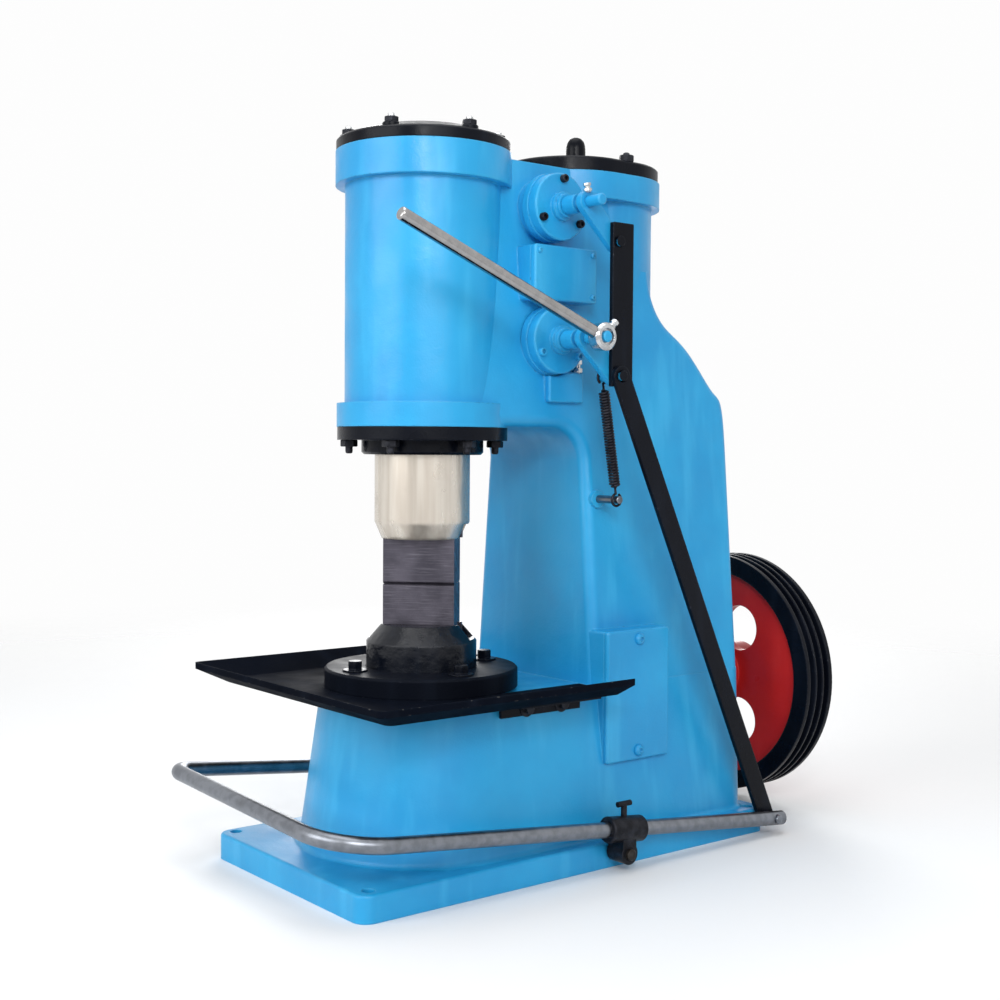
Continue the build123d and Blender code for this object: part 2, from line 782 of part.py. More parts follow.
# Clamp ring that holds the die holder and the tray on the pedestal
with BuildPart() as clamp_ring:
    with BuildSketch(Plane.XZ):
        with BuildLine():
            Polyline(
                (holder_radius + fit_gap, pedestal_top), (ring_spigot_radius, pedestal_top),
                (ring_spigot_radius, tray_floor_top), (ring_radius, tray_floor_top),
                (ring_radius, ring_top - ring_edge_chamfer), (ring_radius - ring_edge_chamfer, ring_top),
                (holder_radius + fit_gap, ring_top), close=True,
            )
        make_face()
    revolve(axis=Axis.Z)
finish(clamp_ring, "clamp_ring")


# Scale tray: a flat floor round the anvil whose front and sides flare up to a lip
with BuildPart() as tray:
    for level, flare in ((pedestal_top, tray_flare_width), (tray_lip_bottom, 0)):
        with BuildSketch(Plane.XY.offset(level)) as tray_outline:
            with Locations((0, (tray_back - tray_front_reach + flare) / 2)):
                Rectangle(2 * (tray_half_width - flare), tray_back + tray_front_reach - flare)
            fillet(tray_outline.vertices().group_by(Axis.Y)[0], tray_corner_radius)
    loft(ruled=True)
    extrude(tray.faces().sort_by(Axis.Z)[-1], amount=tray_lip_height)
    flare_slope_share = tray_flare_width / (tray_lip_top - tray_floor_top)
    for level, inset in (
        (tray_floor_top, tray_lip_land + tray_flare_width),
        (tray_lip_top + overrun, tray_lip_land - overrun * flare_slope_share),
    ):
        with BuildSketch(Plane.XY.offset(level)) as tray_hollow:
            with Locations((0, (tray_back + overrun - tray_front_reach + inset) / 2)):
                Rectangle(2 * (tray_half_width - inset), tray_back + overrun + tray_front_reach - inset)
            fillet(tray_hollow.vertices().group_by(Axis.Y)[0], tray_corner_radius)
    loft(ruled=True, mode=Mode.SUBTRACT)
    with BuildSketch(Plane.XY.offset(pedestal_top - overrun)):
        Circle(tray_opening_radius)
        with Locations((0, tray_back / 2 + overrun)):
            Rectangle(2 * tray_opening_radius, tray_back + 2 * overrun)
    extrude(amount=tray_plate + 2 * overrun, mode=Mode.SUBTRACT)
finish(tray, "tray")


# Angle brackets that carry the tray from the sides of the pedestal
with BuildPart() as tray_bracket_right:
    with BuildSketch(Plane.XZ.offset(-bracket_front_y)):
        with BuildLine():
            Polyline(
                (bracket_inner_x, pedestal_top), (bracket_outer_x, pedestal_top),
                (bracket_outer_x, pedestal_top - bracket_plate),
                (bracket_inner_x + bracket_plate, pedestal_top - bracket_plate),
                (bracket_inner_x + bracket_plate, pedestal_top - bracket_drop),
                (bracket_inner_x, pedestal_top - bracket_drop), close=True,
            )
        make_face()
    extrude(amount=bracket_front_y - bracket_back_y)
finish(tray_bracket_right, "tray_bracket_right")

with BuildPart() as tray_bracket_left:
    add(mirror(tray_bracket_right.part, about=Plane.YZ, mode=Mode.PRIVATE))
finish(tray_bracket_left, "tray_bracket_left")


with BuildPart() as side_cover_right:
    with BuildSketch(Plane.YZ.offset(side_cover_pad_x)):
        with Locations((side_cover_y, side_cover_z)):
            RectangleRounded(side_cover_width, side_cover_height, side_cover_corner_radius)
    extrude(amount=side_cover_thickness)
    chamfer(side_cover_right.faces().sort_by(Axis.X)[-1].edges(), cover_edge_chamfer)
finish(side_cover_right, "side_cover_right")


with BuildPart() as valve_chest_cover:
    with BuildSketch(Plane.YZ.offset(chest_pad_face)):
        with Locations((chest_y, chest_z)):
            RectangleRounded(chest_width, chest_height, chest_corner_radius)
    extrude(amount=chest_cover_thickness)
    chamfer(valve_chest_cover.faces().sort_by(Axis.X)[-1].edges(), valve_flange_chamfer)
finish(valve_chest_cover, "valve_chest_cover")


# Stop block below the lower valve, hollowed to clear its boss
with BuildPart() as valve_stop_block:
    with BuildSketch(Plane.YZ.offset(stop_block_pad_face)):
        with Locations((stop_block_y, stop_block_z)):
            RectangleRounded(stop_block_width, stop_block_height, stop_block_radius)
        with Locations((valve_y, lower_valve_z)):
            Circle(valve_boss_radius + stop_block_gap, mode=Mode.SUBTRACT)
    extrude(amount=stop_block_face - stop_block_pad_face)
    chamfer(valve_stop_block.faces().sort_by(Axis.X)[-1].edges(), valve_flange_chamfer)
finish(valve_stop_block, "valve_stop_block")


# Flanged bushings that carry the two valve shafts
with BuildPart() as upper_valve_flange:
    with BuildSketch(Plane.YZ.offset(valve_boss_face)):
        with Locations((valve_y, upper_valve_z)):
            Circle(valve_flange_radius)
    extrude(amount=valve_flange_face - valve_boss_face)
    chamfer(upper_valve_flange.edges().group_by(Axis.X)[-1], valve_flange_chamfer)
    for start, end, radius in (
        (valve_flange_face, valve_neck_step_x, valve_neck_radius),
        (valve_neck_step_x, valve_neck_face, valve_neck_step_radius),
    ):
        with BuildSketch(Plane.YZ.offset(start)):
            with Locations((valve_y, upper_valve_z)):
                Circle(radius)
        extrude(amount=end - start)
    with BuildSketch(Plane.YZ.offset(valve_boss_face - overrun)):
        with Locations((valve_y, upper_valve_z)):
            Circle(valve_shaft_radius + running_gap)
    extrude(amount=valve_neck_face - valve_boss_face + 2 * overrun, mode=Mode.SUBTRACT)
finish(upper_valve_flange, "upper_valve_flange")

with BuildPart() as lower_valve_flange:
    with Locations((0, 0, lower_valve_z - upper_valve_z)):
        add(upper_valve_flange.part)
finish(lower_valve_flange, "lower_valve_flange")


# Stud for the foot of the return spring
with BuildPart() as spring_anchor:
    with BuildSketch(Plane.YZ.offset(spring_boss_face)):
        with Locations((spring_foot_y, spring_foot_z)):
            Circle(spring_anchor_radius)
    extrude(amount=spring_anchor_end - spring_boss_face)
    chamfer(spring_anchor.edges().sort_by(Axis.X)[-1], pin_chamfer)
finish(spring_anchor, "spring_anchor")


# Return spring: the wound body with an eye round the stud and an eye round the lever pin
with BuildPart() as return_spring:
    foot = Vector(spring_x, spring_foot_y, spring_foot_z)
    head = Vector(spring_x, lever_pin_y, lower_pin_z)
    along = (head - foot).normalized()
    body_length = (head - foot).length - 2 * spring_body_margin
    with BuildSketch(Plane(origin=foot + along * spring_body_margin, z_dir=along)):
        Circle(spring_radius)
    extrude(amount=body_length)
    neck_length = spring_body_margin - spring_eye_radius + overrun
    with BuildSketch(Plane(origin=foot + along * spring_eye_radius, z_dir=along)):
        Circle(spring_wire_radius)
    extrude(amount=neck_length)
    with BuildSketch(Plane(origin=head - along * spring_eye_radius, z_dir=-along)):
        Circle(spring_wire_radius)
    extrude(amount=neck_length)
    for center in (foot, head):
        with Locations(Location(Plane(origin=center, x_dir=(0, 1, 0), z_dir=(1, 0, 0)))):
            Torus(spring_eye_radius, spring_wire_radius)
finish(return_spring, "return_spring")


# Fixed pins in the base that the treadle turns on
with BuildPart() as pivot_pin_right:
    with BuildSketch(Plane.YZ.offset(base_half - pivot_pin_depth)):
        with Locations((treadle_pivot_y, treadle_pivot_z)):
            Circle(pivot_pin_radius)
    extrude(amount=pivot_pin_end - base_half + pivot_pin_depth)
    chamfer(pivot_pin_right.edges().sort_by(Axis.X)[-1], pin_chamfer)
finish(pivot_pin_right, "pivot_pin_right")

with BuildPart() as pivot_pin_left:
    with BuildSketch(Plane.YZ.offset(pivot_pin_depth - base_half)):
        with Locations((treadle_pivot_y, treadle_pivot_z)):
            Circle(pivot_pin_radius)
    extrude(amount=base_half - pivot_pin_depth - pivot_pin_left_end)
    chamfer(pivot_pin_left.edges().sort_by(Axis.X)[0], pin_chamfer)
finish(pivot_pin_left, "pivot_pin_left")


# Flanged bearing housing of the crankshaft on the rear pad
with BuildPart() as crank_bearing_housing:
    with BuildSketch(cross_plane(bearing_pad_face_y)):
        with Locations((0, pulley_z)):
            Circle(bearing_flange_radius)
    extrude(amount=bearing_flange_thickness)
    with BuildSketch(cross_plane(bearing_pad_face_y)):
        with Locations((0, pulley_z)):
            Circle(bearing_barrel_radius)
    extrude(amount=bearing_end_y - bearing_pad_face_y)
    with BuildSketch(cross_plane(bearing_pad_face_y - overrun)):
        with Locations((0, pulley_z)):
            Circle(shaft_radius + running_gap)
    extrude(amount=bearing_end_y - bearing_pad_face_y + 2 * overrun, mode=Mode.SUBTRACT)
finish(crank_bearing_housing, "crank_bearing_housing")


with BuildPart() as crankshaft:
    with BuildSketch(cross_plane(shaft_front_y)):
        with Locations((0, pulley_z)):
            Circle(shaft_radius)
    extrude(amount=shaft_rear_y - shaft_front_y)
    chamfer(crankshaft.edges().sort_by(Axis.Y)[-1], pin_chamfer)
finish(crankshaft, "crankshaft")


# Pulley rim with one V-groove per belt
with BuildPart() as pulley_rim:
    with BuildSketch(Plane.YZ):
        with Locations((pulley_middle_y, pulley_z + (pulley_radius + pulley_rim_inner) / 2)):
            Rectangle(pulley_width, pulley_rim_depth)
    revolve(axis=pulley_axis)
    for number in range(groove_count):
        groove_y = pulley_middle_y + (number - (groove_count - 1) / 2) * groove_pitch
        with BuildSketch(Plane.YZ):
            with BuildLine():
                Polyline(
                    (groove_y - groove_half_top, pulley_z + pulley_radius + overrun),
                    (groove_y - groove_half_top, pulley_z + pulley_radius),
                    (groove_y - groove_half_bottom, pulley_z + pulley_radius - groove_depth),
                    (groove_y + groove_half_bottom, pulley_z + pulley_radius - groove_depth),
                    (groove_y + groove_half_top, pulley_z + pulley_radius),
                    (groove_y + groove_half_top, pulley_z + pulley_radius + overrun), close=True,
                )
            make_face()
        revolve(axis=pulley_axis, mode=Mode.SUBTRACT)
finish(pulley_rim, "pulley_rim")


# Pulley web with round openings and the hub
with BuildPart() as pulley_web:
    with BuildSketch(cross_plane(web_front_y)):
        with Locations((0, pulley_z)):
            Circle(pulley_rim_inner - fit_gap)
            with PolarLocations(web_hole_circle, web_hole_count):
                Circle(web_hole_radius, mode=Mode.SUBTRACT)
    extrude(amount=web_thickness)
    with BuildSketch(cross_plane(hub_front_y)):
        with Locations((0, pulley_z)):
            Circle(pulley_hub_radius)
    extrude(amount=hub_rear_y - hub_front_y)
    with BuildSketch(cross_plane(hub_front_y - overrun)):
        with Locations((0, pulley_z)):
            Circle(shaft_radius + fit_gap)
    extrude(amount=hub_rear_y - hub_front_y + 2 * overrun, mode=Mode.SUBTRACT)
finish(pulley_web, "pulley_web")


# Washer and nut on the end of the crankshaft
with BuildPart() as pulley_retainer:
    with BuildSketch(cross_plane(hub_rear_y)):
        with Locations((0, pulley_z)):
            Circle(retainer_radius)
            Circle(shaft_radius + fit_gap, mode=Mode.SUBTRACT)
    extrude(amount=retainer_thickness)
    with BuildSketch(cross_plane(hub_rear_y + retainer_thickness)):
        with Locations((0, pulley_z)):
            RegularPolygon(retainer_nut_flats / 2, 6, major_radius=False)
            Circle(shaft_radius + fit_gap, mode=Mode.SUBTRACT)
    extrude(amount=shaft_rear_y - hub_rear_y - retainer_thickness)
finish(pulley_retainer, "pulley_retainer")


# Treadle: one round bar bent round the front of the base, drilled for the link pin
with BuildPart() as treadle_bar:
    slope_share = cos(radians(treadle_slope))
    front_run = (treadle_front_y - treadle_pivot_y) / slope_share
    rear_run = (treadle_rear_y - treadle_pivot_y) / slope_share
    left_run = (treadle_left_end_y - treadle_pivot_y) / slope_share
    with BuildLine(treadle_plane) as treadle_path:
        FilletPolyline(
            (0, rear_run), (0, front_run), (-treadle_span, front_run), (-treadle_span, left_run),
            radius=(treadle_right_bend, treadle_left_bend),
        )
    with BuildSketch(Plane(origin=treadle_path.line @ 0, z_dir=treadle_path.line % 0)):
        Circle(treadle_radius)
    sweep(path=treadle_path.line)
    with BuildSketch(Plane.YZ.offset(treadle_half_width - treadle_radius - overrun)):
        with Locations((treadle_link_pin_y, treadle_link_pin_z)):
            Circle(treadle_link_pin_radius + fit_gap)
    extrude(amount=2 * (treadle_radius + overrun), mode=Mode.SUBTRACT)
finish(treadle_bar, "treadle_bar")


with BuildPart() as foot_link_pin:
    with BuildSketch(Plane.YZ.offset(treadle_link_pin_start)):
        with Locations((treadle_link_pin_y, treadle_link_pin_z)):
            Circle(treadle_link_pin_radius)
    extrude(amount=treadle_link_pin_end - treadle_link_pin_start)
    chamfer(foot_link_pin.edges().group_by(Axis.X)[-1], pin_chamfer)
finish(foot_link_pin, "foot_link_pin")


# Cross clamps: the upper barrel grips the bar, the lower barrel turns on the fixed pin
with BuildPart() as treadle_clamp_right:
    right_grip = Vector(treadle_half_width, treadle_pivot_y, treadle_right_z)
    with BuildSketch(Plane(origin=right_grip - treadle_leg * (clamp_barrel_length / 2), z_dir=treadle_leg)):
        Circle(clamp_barrel_radius)
    extrude(amount=clamp_barrel_length)
    chamfer(treadle_clamp_right.edges().filter_by(GeomType.CIRCLE), clamp_chamfer)
    with BuildSketch(Plane.YZ.offset(clamp_foot_start)):
        with Locations((treadle_pivot_y, treadle_pivot_z)):
            Circle(clamp_foot_radius)
        with Locations((treadle_pivot_y, (treadle_pivot_z + treadle_right_z) / 2)):
            Rectangle(clamp_neck_width, treadle_right_z - treadle_pivot_z - clamp_chamfer)
    extrude(amount=clamp_foot_end - clamp_foot_start)
    with BuildSketch(Plane(origin=right_grip - treadle_leg * clamp_barrel_length, z_dir=treadle_leg)):
        Circle(treadle_radius + fit_gap)
    extrude(amount=2 * clamp_barrel_length, mode=Mode.SUBTRACT)
    with BuildSketch(Plane.YZ.offset(clamp_foot_start - overrun)):
        with Locations((treadle_pivot_y, treadle_pivot_z)):
            Circle(pivot_pin_radius + fit_gap)
    extrude(amount=clamp_foot_end - clamp_foot_start + 2 * overrun, mode=Mode.SUBTRACT)
    with BuildSketch(Plane(right_grip + (0, 0, bolt_rise))):
        Circle(tee_bolt_radius + fit_gap)
    extrude(amount=tee_bolt_depth + overrun, mode=Mode.SUBTRACT)
finish(treadle_clamp_right, "treadle_clamp_right")

with BuildPart() as treadle_clamp_left:
    left_grip = Vector(-treadle_left_half_width, treadle_pivot_y, treadle_left_z)
    with BuildSketch(Plane(origin=left_grip - treadle_leg * (clamp_barrel_length / 2), z_dir=treadle_leg)):
        Circle(clamp_barrel_radius)
    extrude(amount=clamp_barrel_length)
    chamfer(treadle_clamp_left.edges().filter_by(GeomType.CIRCLE), clamp_chamfer)
    with BuildSketch(Plane.YZ.offset(-clamp_foot_start)):
        with Locations((treadle_pivot_y, treadle_pivot_z)):
            Circle(clamp_foot_radius)
        with Locations((treadle_pivot_y, (treadle_pivot_z + treadle_left_z) / 2)):
            Rectangle(clamp_neck_width, treadle_left_z - treadle_pivot_z - clamp_chamfer)
    extrude(amount=clamp_foot_start - clamp_foot_left_end)
    with BuildSketch(Plane(origin=left_grip - treadle_leg * clamp_barrel_length, z_dir=treadle_leg)):
        Circle(treadle_radius + fit_gap)
    extrude(amount=2 * clamp_barrel_length, mode=Mode.SUBTRACT)
    with BuildSketch(Plane.YZ.offset(-clamp_foot_left_end - overrun)):
        with Locations((treadle_pivot_y, treadle_pivot_z)):
            Circle(pivot_pin_radius + fit_gap)
    extrude(amount=clamp_foot_left_end - clamp_foot_start + 2 * overrun, mode=Mode.SUBTRACT)
    with BuildSketch(Plane(left_grip + (0, 0, bolt_rise))):
        Circle(tee_bolt_radius + fit_gap)
    extrude(amount=tee_bolt_depth + overrun, mode=Mode.SUBTRACT)
finish(treadle_clamp_left, "treadle_clamp_left")


# Clamping screws with a cross bar
with BuildPart() as clamp_tee_bolt_right:
    with BuildSketch(Plane(right_grip + (0, 0, bolt_rise))):
        Circle(tee_bolt_radius)
    extrude(amount=tee_bolt_depth + tee_bolt_height)
    tee_point = right_grip + (0, -tee_bar_length / 2, clamp_barrel_radius + tee_bolt_height)
    with BuildSketch(Plane(origin=tee_point, x_dir=(1, 0, 0), z_dir=(0, 1, 0))):
        Circle(tee_bar_radius)
    extrude(amount=tee_bar_length)
finish(clamp_tee_bolt_right, "clamp_tee_bolt_right")

with BuildPart() as clamp_tee_bolt_left:
    with Locations((-treadle_left_reach, 0, treadle_lift)):
        add(mirror(clamp_tee_bolt_right.part, about=Plane.YZ, mode=Mode.PRIVATE))
finish(clamp_tee_bolt_left, "clamp_tee_bolt_left")


# Foot link: the long flat bar from the treadle to the lower valve lever
with BuildPart() as foot_link:
    run_y = lever_pin_y - treadle_link_pin_y
    run_z = lower_pin_z - treadle_link_pin_z
    middle = (treadle_link_pin_y + run_y / 2, treadle_link_pin_z + run_z / 2)
    with BuildSketch(Plane.YZ.offset(foot_link_x)):
        with Locations(Location(middle, degrees(atan2(run_z, run_y)))):
            SlotCenterToCenter(hypot(run_y, run_z), foot_link_width)
        with Locations((treadle_link_pin_y, treadle_link_pin_z)):
            Circle(treadle_link_pin_radius + fit_gap, mode=Mode.SUBTRACT)
        with Locations((lever_pin_y, lower_pin_z)):
            Circle(lever_pin_radius + foot_link_top_clearance, mode=Mode.SUBTRACT)
    extrude(amount=link_thickness)
finish(foot_link, "foot_link")


# Valve link: the upright flat bar that joins both valve levers
with BuildPart() as valve_link:
    link_top = upper_pin_z + link_top_overhang
    link_bottom = lower_pin_z - link_bottom_overhang
    with BuildSketch(Plane.YZ.offset(valve_link_x)):
        with Locations((lever_pin_y + link_offset, (link_top + link_bottom) / 2)):
            RectangleRounded(link_width, link_top - link_bottom, link_corner_radius)
        with Locations((lever_pin_y, upper_pin_z), (lever_pin_y, lower_pin_z)):
            Circle(lever_pin_radius + running_gap, mode=Mode.SUBTRACT)
    extrude(amount=link_thickness)
finish(valve_link, "valve_link")


# Valve shafts with a collar in front of the bushing
with BuildPart() as upper_valve_shaft:
    for start, end, radius in (
        (valve_shaft_root, upper_shaft_end, valve_shaft_radius),
        (valve_collar_start, valve_collar_end, valve_collar_radius),
    ):
        with BuildSketch(Plane.YZ.offset(start)):
            with Locations((valve_y, upper_valve_z)):
                Circle(radius)
        extrude(amount=end - start)
    chamfer(upper_valve_shaft.edges().sort_by(Axis.X)[-1], valve_shaft_chamfer)
finish(upper_valve_shaft, "upper_valve_shaft")

with BuildPart() as lower_valve_shaft:
    for start, end, radius in (
        (valve_shaft_root, lower_shaft_end, valve_shaft_radius),
        (valve_collar_start, valve_collar_end, valve_collar_radius),
    ):
        with BuildSketch(Plane.YZ.offset(start)):
            with Locations((valve_y, lower_valve_z)):
                Circle(radius)
        extrude(amount=end - start)
    chamfer(lower_valve_shaft.edges().sort_by(Axis.X)[-1], valve_shaft_chamfer)
finish(lower_valve_shaft, "lower_valve_shaft")


# Valve levers: a boss on the shaft, an arm and the link pin
with BuildPart() as upper_valve_lever:
    with BuildSketch(Plane.YZ.offset(lever_back_x)):
        with Locations((valve_y, upper_valve_z)):
            Circle(lever_boss_radius)
        with Locations((lever_pin_y, upper_pin_z)):
            Circle(lever_eye_radius)
        make_hull()
        with Locations((valve_y, upper_valve_z)):
            Circle(valve_shaft_radius + fit_gap, mode=Mode.SUBTRACT)
    extrude(amount=lever_thickness)
    with BuildSketch(Plane.YZ.offset(lever_back_x)):
        with Locations((lever_pin_y, upper_pin_z)):
            Circle(lever_pin_radius)
    extrude(amount=valve_link_x + link_thickness + pin_head_reach - lever_back_x)
finish(upper_valve_lever, "upper_valve_lever")

with BuildPart() as lower_valve_lever:
    with BuildSketch(Plane.YZ.offset(lever_back_x)):
        with Locations((valve_y, lower_valve_z)):
            Circle(lever_boss_radius)
        with Locations((lever_pin_y, lower_pin_z)):
            Circle(lever_eye_radius)
        make_hull()
        with Locations((valve_y, lower_valve_z)):
            Circle(valve_shaft_radius + fit_gap, mode=Mode.SUBTRACT)
    extrude(amount=lever_thickness)
    with BuildSketch(Plane.YZ.offset(spring_pin_start_x)):
        with Locations((lever_pin_y, lower_pin_z)):
            Circle(lever_pin_radius)
    extrude(amount=foot_link_face_x + pin_head_reach - spring_pin_start_x)
finish(lower_valve_lever, "lower_valve_lever")


# Hand lever: a hub on the lower valve shaft with a socket for the rod
rod_direction = Vector(0, rod_end_y - valve_y, rod_end_z - lower_valve_z).normalized()
rod_x = (hub_start_x + hub_end_x) / 2
hub_center = Vector(rod_x, valve_y, lower_valve_z)
with BuildPart() as hand_lever_hub:
    with BuildSketch(Plane.YZ.offset(hub_start_x)):
        with Locations((valve_y, lower_valve_z)):
            Circle(hub_radius)
    extrude(amount=hub_end_x - hub_start_x)
    chamfer(hand_lever_hub.edges().filter_by(GeomType.CIRCLE), hub_chamfer)
    with BuildSketch(Plane.YZ.offset(hub_start_x - overrun)):
        with Locations((valve_y, lower_valve_z)):
            Circle(valve_shaft_radius + fit_gap)
    extrude(amount=hub_end_x - hub_start_x + 2 * overrun, mode=Mode.SUBTRACT)
    with BuildSketch(Plane.YZ.offset(hub_end_x - hub_recess_depth)):
        with Locations((valve_y, lower_valve_z)):
            Circle(hub_recess_radius)
    extrude(amount=hub_recess_depth + overrun, mode=Mode.SUBTRACT)
    with BuildSketch(Plane(origin=hub_center + rod_direction * hub_socket_depth_radius, z_dir=rod_direction)):
        Circle(rod_radius + fit_gap)
    extrude(amount=hub_radius, mode=Mode.SUBTRACT)
finish(hand_lever_hub, "hand_lever_hub")

with BuildPart() as hand_lever_rod:
    rod_length = hypot(rod_end_y - valve_y, rod_end_z - lower_valve_z) - hub_socket_depth_radius - fit_gap
    rod_start = hub_center + rod_direction * (hub_socket_depth_radius + fit_gap)
    with BuildSketch(Plane(origin=rod_start, z_dir=rod_direction)):
        Circle(rod_radius)
    extrude(amount=rod_length)
    fillet(hand_lever_rod.edges().sort_by(Axis.Y)[0], rod_tip_radius)
finish(hand_lever_rod, "hand_lever_rod")
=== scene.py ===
"""Looks of the pneumatic forging hammer: paint, steel, fasteners and the wound return spring.

All places are in metres in the part's own frame: Z up from the floor, +Y to the rear and +X to the
side of the valves and the hand lever. Angles are in degrees.
"""
import json
from math import cos, pi, radians, sin

import bmesh
import bpy
from mathutils import Matrix, Vector


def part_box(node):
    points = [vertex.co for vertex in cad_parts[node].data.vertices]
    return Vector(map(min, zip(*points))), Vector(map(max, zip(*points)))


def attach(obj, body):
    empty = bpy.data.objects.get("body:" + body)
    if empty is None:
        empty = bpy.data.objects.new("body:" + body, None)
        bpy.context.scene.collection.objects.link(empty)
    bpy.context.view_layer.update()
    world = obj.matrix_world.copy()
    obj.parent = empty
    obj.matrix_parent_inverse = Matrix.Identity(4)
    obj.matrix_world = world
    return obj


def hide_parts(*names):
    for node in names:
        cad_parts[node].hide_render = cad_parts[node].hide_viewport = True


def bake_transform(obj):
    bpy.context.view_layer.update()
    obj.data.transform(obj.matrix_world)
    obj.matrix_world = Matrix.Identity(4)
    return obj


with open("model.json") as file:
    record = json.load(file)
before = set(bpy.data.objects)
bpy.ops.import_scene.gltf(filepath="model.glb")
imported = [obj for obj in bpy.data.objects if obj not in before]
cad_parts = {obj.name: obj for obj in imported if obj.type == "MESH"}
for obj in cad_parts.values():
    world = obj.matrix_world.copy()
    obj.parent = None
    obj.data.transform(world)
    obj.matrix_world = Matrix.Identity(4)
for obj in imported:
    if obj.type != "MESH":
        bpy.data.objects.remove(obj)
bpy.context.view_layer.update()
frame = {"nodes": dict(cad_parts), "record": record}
nodes = frame["nodes"]

# Camera fitted to the photograph
camera_place = (1.8982, -1.3516, 0.6782)
camera_azimuth = 51.43
camera_pitch = -2.10
camera_roll = 0.41
camera_lens = 51.446
camera_sensor = 36.0

# Soft studio lights: name, place, aim, width, height and power
studio_lights = (
    ("front_softbox", (0.0, -3.2, 1.70), (0.0, 0.0, 0.50), 2.6, 1.8, 60.0),
    ("camera_softbox", (2.5, -1.8, 2.00), (0.0, 0.1, 0.80), 0.6, 0.5, 20.0),
    ("side_softbox", (3.1, -1.1, 1.90), (0.0, 0.3, 0.50), 2.2, 1.5, 46.0),
    ("top_softbox", (0.1, -0.2, 3.5), (0.0, 0.1, 0.0), 2.6, 2.6, 48.0),
    ("rear_softbox", (-2.9, 2.6, 1.8), (0.0, 0.3, 0.55), 2.0, 2.0, 70.0),
)
backdrop_white = (0.985, 0.985, 0.985, 1.0)
ambient_grey = (0.36, 0.37, 0.38, 1.0)
floor_pale = (0.89, 0.89, 0.89, 1.0)
floor_radius = 4.0
floor_fade_start = 1.0
floor_sides = 96

# Finishes: radius to which the shading rounds the edges, and depth of the relief
bevel_samples = 4
paint_rounding = 0.0035
steel_rounding = 0.0018
iron_rounding = 0.0015
ram_rounding = 0.009
paint_relief = 0.0011
scratch_relief = 0.00022
iron_relief = 0.0005

# Bolts, nuts and screws: widths across flats, thread radii, and places on the pieces that carry them
cover_ring = {"count": 6, "circle": 0.121}
cover_bosses = {"radius": 0.0140, "low": 0.0180, "high": 0.0265}
cover_nuts = {"flats": 0.021, "height": 0.0078}
cover_studs = {"thread": 0.0064, "proud": 0.0065}
compressor_nuts = {"flats": 0.023, "height": 0.0115, "thread": 0.0062, "proud": 0.005}
compressor_nut_places = ((0.104, 0.0125), (-0.104, 0.0125), (0.0, 0.125))
gland_ring = {"count": 6, "circle": 0.119}
gland_nuts = {"flats": 0.024, "height": 0.011, "thread": 0.0064, "proud": 0.011}
gland_flange = 0.021
clamp_bolt_ring = {"count": 4, "circle": 0.122, "first": 85.0}
clamp_bolts = {"flats": 0.021}
bracket_bolts = {"flats": 0.014}
bracket_bolt_places = (0.0777, 0.150)
bracket_bolt_rise = 0.011
bracket_web = 0.006
flange_ring = {"count": 3, "circle": 0.045, "first": 87.0}
flange_screws = {"radius": 0.0065, "height": 0.008}
flange_depth = 0.019
chest_screws = {"radius": 0.0045, "height": 0.004}
chest_screw_across = 0.057
chest_screw_up = 0.034
side_cover_screws = {"radius": 0.010, "height": 0.007}
side_cover_screw_up = 0.093
bearing_ring = {"count": 6, "circle": 0.078, "first": 30.0}
bearing_bolts = {"flats": 0.019}
bearing_flange = 0.020
stop_screw = {"flats": 0.015, "thread": 0.0050, "height": 0.0205}
stop_screw_inset = 0.0095
hub_screw = {"flats": 0.013, "thread": 0.0050, "height": 0.0170}
hub_screw_angle = 42.0
lever_screw = {"flats": 0.012, "thread": 0.0045, "height": 0.0130}
lever_screw_angle = 100.0
screw_sink = 0.0015
lever_eye = 0.015
pin_caps = {"radius": 0.0085, "height": 0.0020}

# Forms of the fasteners, as shares of their own sizes
washer_edge_share = 0.2
washer_radius_share = 0.95
washer_thickness_share = 0.13
bolt_head_share = 0.64
nut_rim_share = 0.1
nut_foot_limit_share = 1.05
nut_top_limit_share = 1.03
full_hexagon_share = 1.2
lock_nut_share = 0.35
jack_head_share = 0.36
jack_head_flats_share = 0.92
thread_pitch_share = 0.24
thread_root_share = 0.9
thread_plain_share = 0.5
thread_tip_share = 0.25
thread_tip_radius_share = 0.55

# Screw heads and their hexagon sockets, as shares of height and radius
cap_head_shares = ((0, 1), (0.85, 1), (1, 0.9))
cap_socket_shares = ((1, 1.05), (0.35, 1.0))
button_head_shares = ((0, 1), (0.15, 1), (0.55, 0.9), (0.85, 0.7), (1, 0.45))
button_socket_shares = ((1, 0.72), (0.55, 0.68))

# Fineness of the turned meshes, and the angle up to which their faces are shaded smooth
round_sides = 24
thread_sides = 18
hexagon_sides = 36
smooth_angle = 32.0

# Wound return spring
spring_wire = 0.0022
spring_wire_fineness = 2
spring_coil = 0.0072
spring_eye = 0.0100
spring_eye_edge = 0.0125
spring_eye_turn = 320
spring_eye_step = 16
spring_margin = 0.020
spring_pitch = 0.0046
spring_steps = 16


def tint(code):
    """Linear colour of a #RRGGBB code."""
    channels = [int(code[at:at + 2], 16) / 255 for at in (1, 3, 5)]
    linear = [c / 12.92 if c <= 0.04045 else ((c + 0.055) / 1.055) ** 2.4 for c in channels]
    return (*linear, 1.0)


